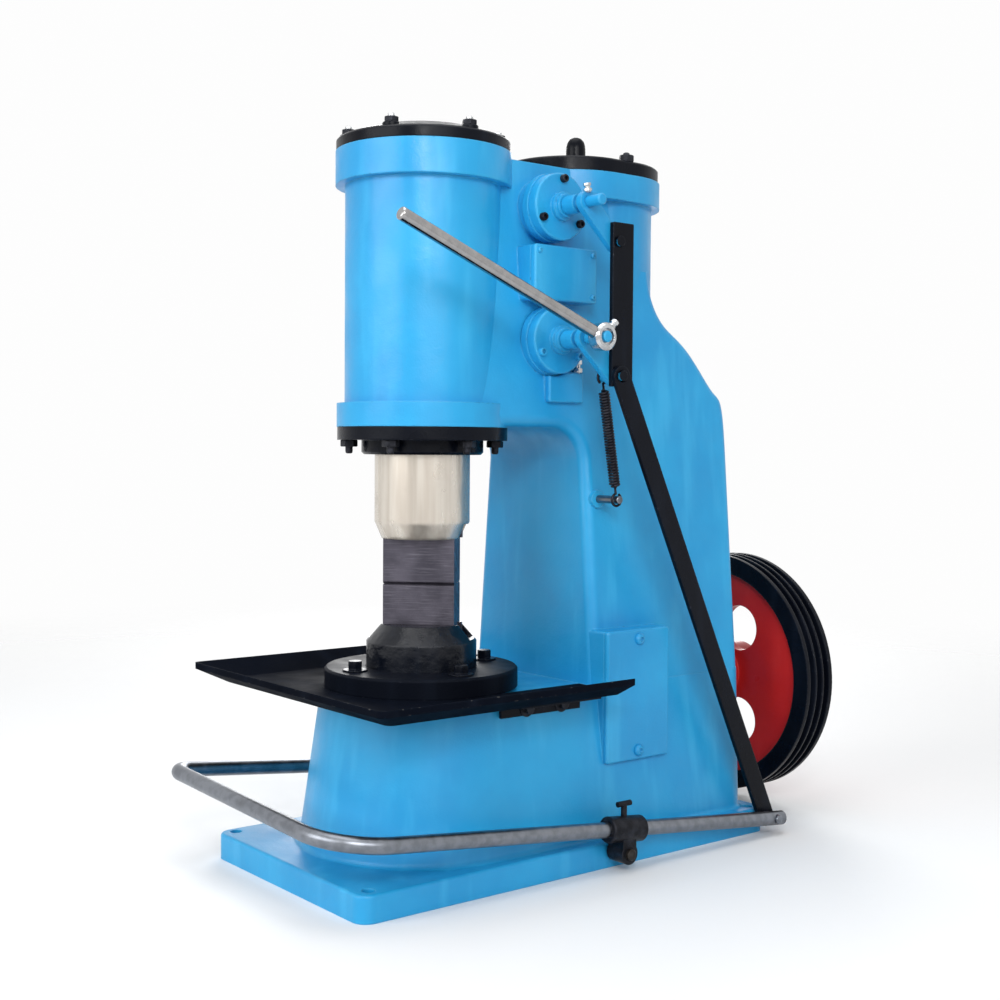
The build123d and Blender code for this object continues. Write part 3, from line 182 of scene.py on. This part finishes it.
class Tree:
    """A shader tree while it is made: nodes are added by kind, with plain values or sockets as inputs."""

    def __init__(self, owner):
        owner.use_nodes = True
        self.tree = owner.node_tree
        self.tree.nodes.clear()

    def add(self, kind, inputs=None, **settings):
        node = self.tree.nodes.new("ShaderNode" + kind)
        for name, value in settings.items():
            setattr(node, name, value)
        for socket, value in (inputs or {}).items():
            if isinstance(value, bpy.types.NodeSocket):
                self.tree.links.new(value, node.inputs[socket])
            else:
                node.inputs[socket].default_value = value
        return node

    def maths(self, operation, first, second):
        return self.add("Math", {0: first, 1: second}, operation=operation).outputs[0]


class Shader(Tree):
    """One material, with patterns in the coordinates of the piece that wears it."""

    def __init__(self, name):
        self.material = bpy.data.materials.new(name)
        super().__init__(self.material)
        self.place = self.add("TexCoord").outputs["Object"]

    def noise(self, scale, detail=3.0, stretch=(1, 1, 1)):
        """Cloudy pattern around 0.5 with about scale blots to the metre, times stretch along each axis."""
        inputs = {"Vector": self.place, "Scale": [scale * along for along in stretch]}
        mapped = self.add("Mapping", inputs).outputs["Vector"]
        inputs = {"Vector": mapped, "Scale": 1.0, "Detail": detail}
        return self.add("TexNoise", inputs).outputs["Fac"]

    def spread(self, value, low, high, first=0.0, last=1.0):
        """Smooth step of value: first below low, last above high."""
        inputs = {"Value": value, "From Min": low, "From Max": high, "To Min": first, "To Max": last}
        return self.add("MapRange", inputs, interpolation_type="SMOOTHSTEP").outputs["Result"]

    def mix(self, share, first, second):
        """Colour between first and second."""
        node = self.add("Mix", {0: share, 6: first, 7: second}, data_type="RGBA")
        return node.outputs[2]

    def edges(self, width):
        """The normal with edges rounded to width, and a mask that is 1 along the edges."""
        rounded = self.add("Bevel", {"Radius": width}, samples=bevel_samples).outputs["Normal"]
        true = self.add("NewGeometry").outputs["Normal"]
        dot = self.add("VectorMath", {0: rounded, 1: true}, operation="DOT_PRODUCT").outputs["Value"]
        return rounded, self.spread(dot, low=0.82, high=0.985, first=1.0, last=0.0)

    def finish(self, colour, roughness, height, depth, normal, **plain):
        """Joins the parts into a shader; plain values are set on its own sockets."""
        inputs = {"Height": height, "Distance": depth, "Strength": 1.0, "Normal": normal}
        bump = self.add("Bump", inputs).outputs["Normal"]
        inputs = {"Base Color": colour, "Roughness": roughness, "Normal": bump}
        inputs.update({name.replace("_", " "): value for name, value in plain.items()})
        surface = self.add("BsdfPrincipled", inputs).outputs["BSDF"]
        self.add("OutputMaterial", {"Surface": surface})
        return self.material


def enamel(name, main, shade, light, chip, roughness, casting, shine):
    """Brushed-on enamel over a casting: clouded colour, a painted highlight that pales the edges, a few
    chips, slight waves.
    """
    look = Shader(name)
    normal, edge = look.edges(paint_rounding)
    clouds = look.noise(scale=4.5, detail=4.0)
    colour = look.mix(look.spread(clouds, low=0.35, high=0.68), tint(main), tint(shade))
    runs = look.noise(scale=9.0, stretch=(2.4, 2.4, 0.35))
    colour = look.mix(look.spread(runs, low=0.50, high=0.74, last=0.35), colour, tint(light))
    # Painted highlight: along the edges the colour is mixed towards the light colour, standing in for the
    # sheen of light on rounded edges
    colour = look.mix(look.maths("MULTIPLY", edge, 0.55), colour, tint(light))
    flakes = look.spread(look.noise(scale=120.0, detail=4.0), low=0.62, high=0.67)
    chips = look.maths("MULTIPLY", edge, flakes)
    colour = look.mix(look.maths("MULTIPLY", chips, 0.75), colour, tint(chip))
    specks = look.noise(scale=260.0, detail=2.0)
    colour = look.mix(look.spread(specks, low=0.74, high=0.80, last=0.35), colour, tint(shade))
    patches = look.noise(scale=16.0)
    rough = look.spread(patches, low=0.3, high=0.7, first=roughness - 0.05, last=roughness + 0.09)
    peel = look.maths("MULTIPLY", look.noise(scale=330.0, detail=2.0), 0.18)
    waves = look.maths("MULTIPLY", look.noise(scale=24.0), casting)
    height = look.maths("ADD", peel, waves)
    return look.finish(colour, rough, height, paint_relief, normal, Specular_IOR_Level=shine)


def bright_steel(name, main, dark, stain, roughness, streak, relief, stains,
                 rounding=steel_rounding, metal=1.0):
    """Ground or drawn steel: fine streaks or an even grain, faint stains and worn bright edges."""
    look = Shader(name)
    normal, edge = look.edges(rounding)
    fine = look.noise(scale=1.0, detail=4.0, stretch=streak)
    colour = look.mix(look.spread(fine, low=0.36, high=0.66), tint(dark), tint(main))
    blots = look.spread(look.noise(scale=26.0, detail=5.0), low=0.56, high=0.76, last=stains)
    colour = look.mix(blots, colour, tint(stain))
    colour = look.mix(look.maths("MULTIPLY", edge, 0.5), colour, tint(main))
    dulled = look.maths("ADD", look.maths("MULTIPLY", fine, 0.6), look.maths("MULTIPLY", blots, 0.5))
    rough = look.spread(dulled, low=0.2, high=0.7, first=roughness - 0.06, last=roughness + 0.12)
    return look.finish(colour, rough, fine, relief, normal, Metallic=metal)


def forged_steel(name, main, dark, bright, roughness):
    """Die steel: soft clouds of scale under fine level scratches, with rubbed edges."""
    look = Shader(name)
    normal, edge = look.edges(steel_rounding)
    clouds = look.noise(scale=18.0, detail=5.0)
    colour = look.mix(look.spread(clouds, low=0.32, high=0.68), tint(main), tint(dark))
    scratches = look.noise(scale=1.0, detail=4.0, stretch=(22, 22, 640))
    colour = look.mix(look.spread(scratches, low=0.50, high=0.72, last=0.40), colour, tint(bright))
    colour = look.mix(look.maths("MULTIPLY", edge, 0.5), colour, tint(bright))
    patches = look.noise(scale=60.0, detail=4.0)
    rough = look.spread(patches, low=0.3, high=0.7, first=roughness - 0.08, last=roughness + 0.10)
    return look.finish(colour, rough, scratches, scratch_relief, normal, Metallic=0.8)


def dark_iron(name, main, rub, roughness):
    """Black iron or blued steel with a fine skin and rubbed edges."""
    look = Shader(name)
    normal, edge = look.edges(iron_rounding)
    clouds = look.noise(scale=60.0, detail=4.0)
    colour = look.mix(look.spread(clouds, low=0.35, high=0.75, last=0.4), tint(main), tint(rub))
    rubbed = look.spread(look.noise(scale=90.0), low=0.42, high=0.60, first=0.15, last=0.8)
    colour = look.mix(look.maths("MULTIPLY", edge, rubbed), colour, tint(rub))
    patches = look.noise(scale=45.0)
    rough = look.spread(patches, low=0.3, high=0.7, first=roughness - 0.07, last=roughness + 0.10)
    skin = look.noise(scale=420.0)
    return look.finish(colour, rough, skin, iron_relief, normal, Metallic=0.6, Specular_IOR_Level=0.2)


# In each enamel, light is a paler tone for the random runs and also the colour of the painted highlight
# along the edges
materials = {
    "blue_paint": enamel(
        "blue_paint", main="#26A0D6", shade="#1E91CA", light="#49BAE8", chip="#23577C",
        roughness=0.34, casting=0.9, shine=0.40),
    "black_paint": enamel(
        "black_paint", main="#090D16", shade="#06080F", light="#1A202C", chip="#4A4C54",
        roughness=0.27, casting=0.6, shine=0.10),
    "red_paint": enamel(
        "red_paint", main="#C92523", shade="#B41C1D", light="#DC443E", chip="#4A1A1C",
        roughness=0.32, casting=0.8, shine=0.30),
    "ram_steel": bright_steel(
        "ram_steel", main="#D6CFC4", dark="#C2B9AD", stain="#988D7F", roughness=0.28,
        streak=(60, 60, 3), relief=0.00003, stains=0.30, rounding=ram_rounding, metal=0.7),
    "bar_steel": bright_steel(
        "bar_steel", main="#82868D", dark="#72767D", stain="#5A5A57", roughness=0.36,
        streak=(70, 70, 70), relief=0.00006, stains=0.25),
    "die_steel": forged_steel(
        "die_steel", main="#55525C", dark="#3F3D46", bright="#77747E", roughness=0.42),
    "spring_steel": dark_iron("spring_steel", main="#1B1B21", rub="#4A4A52", roughness=0.36),
    "dark_iron": dark_iron("dark_iron", main="#15161B", rub="#43454D", roughness=0.40),
}

# Finishes that single pieces have in place of their slot's own
rod_steel = bright_steel(
    "rod_steel", main="#A3A2A1", dark="#989797", stain="#7C7973", roughness=0.17,
    streak=(70, 70, 70), relief=0.00002, stains=0.30)
screw_steel = bright_steel(
    "screw_steel", main="#C9CBCD", dark="#B2B4B6", stain="#8E8C87", roughness=0.24,
    streak=(120, 120, 120), relief=0.00003, stains=0.25)
pin_steel = dark_iron("pin_steel", main="#2A2725", rub="#5A5652", roughness=0.38)
# The enamels here also take their light colour as the painted highlight along the edges
own_materials = {
    "tray": enamel(
        "tray_black", main="#0B0F18", shade="#080B12", light="#181E29", chip="#7A7874",
        roughness=0.62, casting=0.6, shine=0.01),
    "clamp_ring": enamel(
        "ring_black", main="#0B0F18", shade="#080B12", light="#181E29", chip="#4A4C54",
        roughness=0.46, casting=0.6, shine=0.04),
    "die_holder": enamel(
        "holder_black", main="#0B0F18", shade="#080B12", light="#1C222E", chip="#4A4C54",
        roughness=0.20, casting=2.6, shine=0.30),
    "hand_lever_hub": screw_steel,
    "hand_lever_rod": rod_steel,
    "pivot_pin_right": pin_steel,
    "pivot_pin_left": pin_steel,
}


def dress_cad_nodes():
    """Gives every CAD node the material of its slot, or a finish of its own."""
    for row in frame["record"]["subparts"]:
        mesh = nodes[row["node"]].data
        mesh.materials.clear()
        mesh.materials.append(own_materials.get(row["node"], materials[row["material_slot"]]))


def middle(node):
    """Middle of a CAD node's box."""
    low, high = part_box(node)
    return (low + high) / 2


def facing(point, direction):
    """Place whose own Z looks along direction."""
    turn = Vector((0, 0, 1)).rotation_difference(Vector(direction))
    return Matrix.Translation(point) @ turn.to_matrix().to_4x4()


def ring_of(count, circle, first=0.0):
    """Points (across, up) on a circle."""
    angles = [radians(first) + 2 * pi * step / count for step in range(count)]
    return [(circle * cos(angle), circle * sin(angle)) for angle in angles]


def turned(mesh, place, outline, sides=round_sides):
    """Adds a closed body of rings; outline holds (height, radius), where radius may depend on the angle."""
    rows = []
    for height, radius in outline:
        row = []
        for step in range(sides):
            angle = 2 * pi * step / sides
            reach = radius(angle) if callable(radius) else radius
            row.append(mesh.verts.new(place @ Vector((reach * cos(angle), reach * sin(angle), height))))
        rows.append(row)
    for low, high in zip(rows, rows[1:]):
        for step in range(sides):
            after = (step + 1) % sides
            mesh.faces.new((low[step], low[after], high[after], high[step]))
    mesh.faces.new(tuple(reversed(rows[0])))
    mesh.faces.new(tuple(rows[-1]))


def hexagon(flats, limit=full_hexagon_share):
    """Radius of a hexagon by angle, cut off at limit times its half width as a chamfer does."""
    def radius(angle):
        sector = (angle + pi / 6) % (pi / 3) - pi / 6
        return flats / 2 * min(limit, 1 / cos(sector))
    return radius


def washer(mesh, place, radius, thickness):
    """Flat round plate with broken edges."""
    edge = washer_edge_share * thickness
    inner = radius - edge
    turned(mesh, place, [(0, inner), (edge, radius), (thickness - edge, radius), (thickness, inner)])


def threaded_end(mesh, place, radius, low, high):
    """Stud from low to high with ridges and a rounded tip."""
    pitch = thread_pitch_share * radius
    root = thread_root_share * radius
    outline = [(low, root)]
    for ridge in range(int((high - low - thread_plain_share * radius) / pitch)):
        outline += [(low + (ridge + 0.5) * pitch, radius), (low + (ridge + 1) * pitch, root)]
    outline += [(high - thread_tip_share * radius, root), (high, thread_tip_radius_share * radius)]
    turned(mesh, place, outline, thread_sides)


def nut(mesh, place, flats, height, low=0.0):
    """Hexagon with chamfered ends, as a nut or a bolt head."""
    rim = nut_rim_share * height
    turned(mesh, place, [
        (low, hexagon(flats, nut_foot_limit_share)),
        (low + rim, hexagon(flats)),
        (low + height - rim, hexagon(flats)),
        (low + height, hexagon(flats, nut_top_limit_share)),
    ], hexagon_sides)


def stud_and_nut(mesh, place, flats, height, thread, proud):
    """Nut and stud end standing on a face."""
    nut(mesh, place, flats, height)
    threaded_end(mesh, place, thread, 0.0, height + proud)


def hex_bolt(mesh, place, flats):
    """Washer and bolt head."""
    thick = washer_thickness_share * flats
    washer(mesh, place, washer_radius_share * flats, thick)
    nut(mesh, place, flats, bolt_head_share * flats, thick)


def jack_screw(mesh, place, flats, thread, height):
    """Screw that stands out of a face, with a lock nut at its foot and a head on top."""
    turned(mesh, place, [(-screw_sink, thread), (height, thread)], thread_sides)
    nut(mesh, place, flats, lock_nut_share * height)
    head = jack_head_share * height
    nut(mesh, place, jack_head_flats_share * flats, head, height - head)


def socket_head(mesh, place, radius, height, head_shares, socket_shares):
    """Round screw head with a hexagon socket."""
    outline = [(up * height, out * radius) for up, out in head_shares]
    outline += [(up * height, hexagon(flats * radius)) for up, flats in socket_shares]
    turned(mesh, place, outline, hexagon_sides)


def cap_screw(mesh, place, radius, height):
    """Tall head with a wide socket."""
    socket_head(mesh, place, radius, height, cap_head_shares, cap_socket_shares)


def button_screw(mesh, place, radius, height):
    """Low domed head."""
    socket_head(mesh, place, radius, height, button_head_shares, button_socket_shares)


def piece(name, mesh, body, slot, material=None):
    """Makes an object of the mesh that moves with a CAD body, in its slot's material or one of its own."""
    bmesh.ops.recalc_face_normals(mesh, faces=mesh.faces[:])
    data = bpy.data.meshes.new(name)
    mesh.to_mesh(data)
    mesh.free()
    data.materials.append(material or materials[slot])
    data.polygons.foreach_set("use_smooth", [True] * len(data.polygons))
    data.set_sharp_from_angle(angle=radians(smooth_angle))
    thing = bpy.data.objects.new(name, data)
    bpy.context.scene.collection.objects.link(thing)
    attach(thing, body)


def add_cover_nuts():
    """Dark nuts with bright stud ends on black bosses round the working cylinder's cover."""
    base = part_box("working_cylinder_cover")[0].z
    rise = cover_bosses["high"] - cover_bosses["low"]
    top = cover_nuts["height"] + cover_studs["proud"]
    bosses = bmesh.new()
    nuts = bmesh.new()
    studs = bmesh.new()
    for x, y in ring_of(**cover_ring):
        foot = Matrix.Translation((x, y, base + cover_bosses["low"]))
        washer(bosses, foot, cover_bosses["radius"], rise)
        seat = Matrix.Translation((x, y, base + cover_bosses["high"]))
        nut(nuts, seat, **cover_nuts)
        threaded_end(studs, seat, cover_studs["thread"], 0.0, top)
    piece("cylinder_cover_bosses", bosses, "frame", "black_paint")
    piece("cylinder_cover_nuts", nuts, "frame", "dark_iron")
    piece("cylinder_cover_studs", studs, "frame", "bar_steel", screw_steel)


def add_compressor_nuts():
    """Nuts and stud ends on the compressor's cover."""
    mesh = bmesh.new()
    cover = middle("compressor_cylinder_cover")
    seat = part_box("compressor_cylinder_cover")[1].z
    for x, y in compressor_nut_places:
        stud_and_nut(mesh, Matrix.Translation((x, cover.y + y, seat)), **compressor_nuts)
    piece("compressor_cover_nuts", mesh, "frame", "dark_iron")


def add_gland_nuts():
    """Nuts and stud ends hanging under the gland's flange."""
    mesh = bmesh.new()
    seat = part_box("cylinder_gland")[1].z - gland_flange
    for x, y in ring_of(**gland_ring):
        stud_and_nut(mesh, facing((x, y, seat), (0, 0, -1)), **gland_nuts)
    piece("gland_nuts", mesh, "frame", "dark_iron")


def add_clamp_ring_bolts():
    """Bolts that hold the clamp ring down round the die holder."""
    mesh = bmesh.new()
    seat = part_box("clamp_ring")[1].z
    for x, y in ring_of(**clamp_bolt_ring):
        hex_bolt(mesh, Matrix.Translation((x, y, seat)), **clamp_bolts)
    piece("clamp_ring_bolts", mesh, "frame", "black_paint")


def add_bracket_bolts():
    """Bolts that hold the tray brackets to the pedestal."""
    mesh = bmesh.new()
    for side, node in ((1, "tray_bracket_right"), (-1, "tray_bracket_left")):
        low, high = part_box(node)
        face = low.x + bracket_web if side > 0 else high.x - bracket_web
        for y in bracket_bolt_places:
            hex_bolt(mesh, facing((face, y, low.z + bracket_bolt_rise), (side, 0, 0)), **bracket_bolts)
    piece("tray_bracket_bolts", mesh, "frame", "dark_iron")


def add_flange_screws():
    """Cap screws of the valve flanges; the lower ones are painted over."""
    for node, slot in (("upper_valve_flange", "dark_iron"), ("lower_valve_flange", "blue_paint")):
        mesh = bmesh.new()
        centre = middle(node)
        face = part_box(node)[0].x + flange_depth
        for y, z in ring_of(**flange_ring):
            cap_screw(mesh, facing((face, centre.y + y, centre.z + z), (1, 0, 0)), **flange_screws)
        piece(node + "_screws", mesh, "frame", slot)


def add_plate_screws(name, node, spots, screw):
    """Painted screws on a cover that faces the valve side, at spots about its middle."""
    mesh = bmesh.new()
    centre = middle(node)
    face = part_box(node)[1].x
    for y, z in spots:
        button_screw(mesh, facing((face, centre.y + y, centre.z + z), (1, 0, 0)), **screw)
    piece(name, mesh, "frame", "blue_paint")


def add_cover_plate_screws():
    """Screws of the valve chest's cover and the inspection cover."""
    columns = (-chest_screw_across, chest_screw_across)
    rows = (-chest_screw_up, chest_screw_up)
    chest_spots = [(y, z) for y in columns for z in rows]
    add_plate_screws("valve_chest_screws", "valve_chest_cover", chest_spots, chest_screws)
    side_spots = [(0, -side_cover_screw_up), (0, side_cover_screw_up)]
    add_plate_screws("side_cover_screws", "side_cover_right", side_spots, side_cover_screws)


def add_bearing_bolts():
    """Bolts of the crank bearing's housing, between the column and the pulley."""
    mesh = bmesh.new()
    centre = middle("crank_bearing_housing")
    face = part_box("crank_bearing_housing")[0].y + bearing_flange
    for x, z in ring_of(**bearing_ring):
        hex_bolt(mesh, facing((x, face, centre.z + z), (0, 1, 0)), **bearing_bolts)
    piece("bearing_housing_bolts", mesh, "frame", "dark_iron")


def add_stop_screw():
    """Screw that stands on the stop block."""
    mesh = bmesh.new()
    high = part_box("valve_stop_block")[1]
    place = Matrix.Translation((middle("valve_stop_block").x, high.y - stop_screw_inset, high.z))
    jack_screw(mesh, place, **stop_screw)
    piece("valve_stop_screw", mesh, "frame", "bar_steel", screw_steel)


def add_set_screw(name, node, body, angle, screw):
    """Screw that clamps a hub or a lever to the valve shaft of its body."""
    mesh = bmesh.new()
    axis = middle(body + "_shaft")
    reach = axis.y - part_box(node)[0].y
    out = Vector((0, cos(radians(angle)), sin(radians(angle))))
    foot = Vector((middle(node).x, axis.y, axis.z)) + out * (reach - screw_sink)
    jack_screw(mesh, facing(foot, out), **screw)
    piece(name, mesh, body, "bar_steel", screw_steel)


def add_pin_caps():
    """Black heads on the pins that carry the links."""
    for node, body in (("upper_valve_lever", "upper_valve"), ("lower_valve_lever", "lower_valve")):
        mesh = bmesh.new()
        low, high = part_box(node)
        centre = Vector((high.x, high.y - lever_eye, low.z + lever_eye))
        washer(mesh, facing(centre, (1, 0, 0)), pin_caps["radius"], pin_caps["height"])
        piece(node + "_pin_cap", mesh, body, "black_paint")


def spring_path(foot, head):
    """Points of the wire: an eye on the stud, a close winding and an eye on the lever pin."""
    along = (head - foot).normalized()
    side = Vector((1, 0, 0))
    across = along.cross(side)

    def eye(centre, lift, angle):
        return centre + spring_eye * (sin(radians(angle)) * across + cos(radians(angle)) * lift * along)

    points = [eye(foot, 1, angle) for angle in range(-spring_eye_turn, 1, spring_eye_step)]
    body = (head - foot).length - 2 * spring_margin
    steps = int(body / spring_pitch) * spring_steps
    for step in range(steps + 1):
        turn = 2 * pi * step / spring_steps
        reach = spring_coil * min(1.0, step / spring_steps, (steps - step) / spring_steps)
        up = foot + along * (spring_margin + body * step / steps)
        points.append(up + reach * (cos(turn) * side + sin(turn) * across))
    return points + [eye(head, -1, angle) for angle in range(0, spring_eye_turn + 1, spring_eye_step)]


def wire_mesh(name, points):
    """Round wire through the points."""
    curve = bpy.data.curves.new(name, "CURVE")
    curve.dimensions = "3D"
    curve.bevel_depth = spring_wire
    curve.bevel_resolution = spring_wire_fineness
    line = curve.splines.new("POLY")
    line.points.add(len(points) - 1)
    for spot, point in zip(line.points, points):
        spot.co = (*point, 1.0)
    draft = bpy.data.objects.new(name + "_draft", curve)
    bpy.context.scene.collection.objects.link(draft)
    bpy.context.view_layer.update()
    data = bpy.data.meshes.new_from_object(draft.evaluated_get(bpy.context.evaluated_depsgraph_get()))
    bpy.data.objects.remove(draft)
    data.name = name
    return data


def add_spring():
    """Close-wound wire in place of the plain CAD spring."""
    low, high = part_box("return_spring")
    centre_x = (low.x + high.x) / 2
    foot = Vector((centre_x, middle("spring_anchor").y, low.z + spring_eye_edge))
    head = Vector((centre_x, low.y + spring_eye_edge, high.z - spring_eye_edge))
    data = wire_mesh("return_spring_wire", spring_path(foot, head))
    data.materials.clear()
    data.materials.append(materials["spring_steel"])
    data.polygons.foreach_set("use_smooth", [True] * len(data.polygons))
    wire = bpy.data.objects.new("return_spring_wire", data)
    bpy.context.scene.collection.objects.link(wire)
    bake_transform(wire)
    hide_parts("return_spring")


def floor_material():
    """Pale matt floor that fades into the white surroundings."""
    look = Shader("pale_floor")
    distance = look.add("VectorMath", {0: look.place}, operation="LENGTH").outputs["Value"]
    fade = look.spread(distance, low=floor_fade_start, high=floor_radius)
    grain = look.spread(look.noise(scale=40.0), low=0.3, high=0.7, first=0.55, last=0.7)
    inputs = {"Base Color": floor_pale, "Roughness": grain, "Specular IOR Level": 0.2}
    paint = look.add("BsdfPrincipled", inputs).outputs["BSDF"]
    clear = look.add("BsdfTransparent").outputs["BSDF"]
    blend = look.add("MixShader", {0: fade, 1: paint, 2: clear}).outputs["Shader"]
    look.add("OutputMaterial", {"Surface": blend})
    return look.material


def add_floor():
    """Round floor under the machine."""
    mesh = bmesh.new()
    bmesh.ops.create_circle(mesh, cap_ends=True, segments=floor_sides, radius=floor_radius)
    data = bpy.data.meshes.new("floor")
    mesh.to_mesh(data)
    mesh.free()
    data.materials.append(floor_material())
    floor = bpy.data.objects.new("floor", data)
    bpy.context.scene.collection.objects.link(floor)


def add_lights():
    """Soft lamps round the machine and above it."""
    for name, place, aim, width, height, power in studio_lights:
        lamp = bpy.data.lights.new(name, "AREA")
        lamp.shape = "RECTANGLE"
        lamp.size = width
        lamp.size_y = height
        lamp.energy = power
        holder = bpy.data.objects.new(name, lamp)
        holder.location = place
        holder.rotation_euler = (Vector(aim) - Vector(place)).to_track_quat("-Z", "Y").to_euler()
        bpy.context.scene.collection.objects.link(holder)


def add_world():
    """Surroundings that are white where they are seen and grey where they light."""
    world = bpy.data.worlds.new("studio")
    sky = Tree(world)
    lit = sky.add("Background", {"Color": ambient_grey}).outputs[0]
    seen = sky.add("Background", {"Color": backdrop_white}).outputs[0]
    ray = sky.add("LightPath").outputs
    shown = sky.maths("MAXIMUM", ray["Is Camera Ray"], ray["Is Glossy Ray"])
    shown = sky.maths("MAXIMUM", shown, ray["Is Transmission Ray"])
    surface = sky.add("MixShader", {0: shown, 1: lit, 2: seen}).outputs[0]
    sky.add("OutputWorld", {"Surface": surface})
    bpy.context.scene.world = world


def add_camera():
    """Camera at the place, angle and lens fitted to the photograph."""
    data = bpy.data.cameras.new("camera")
    data.lens = camera_lens
    data.sensor_width = camera_sensor
    turn = radians(camera_azimuth)
    tilt = radians(camera_pitch)
    lean = radians(camera_roll)
    forward = Vector((-sin(turn) * cos(tilt), cos(turn) * cos(tilt), sin(tilt)))
    level = Vector((cos(turn), sin(turn), 0))
    upright = level.cross(forward)
    right = level * cos(lean) + upright * sin(lean)
    up = upright * cos(lean) - level * sin(lean)
    aim = Matrix((right, up, -forward)).transposed().to_4x4()
    camera = bpy.data.objects.new("camera", data)
    camera.matrix_world = Matrix.Translation(camera_place) @ aim
    bpy.context.scene.collection.objects.link(camera)
    bpy.context.scene.camera = camera


dress_cad_nodes()
add_cover_nuts()
add_compressor_nuts()
add_gland_nuts()
add_clamp_ring_bolts()
add_bracket_bolts()
add_flange_screws()
add_cover_plate_screws()
add_bearing_bolts()
add_stop_screw()
add_set_screw("hub_set_screw", "hand_lever_hub", "lower_valve", hub_screw_angle, hub_screw)
add_set_screw("lever_set_screw", "upper_valve_lever", "upper_valve", lever_screw_angle, lever_screw)
add_pin_caps()
add_spring()
add_floor()
add_lights()
add_world()
add_camera()
bpy.context.scene.view_settings.view_transform = "Standard"
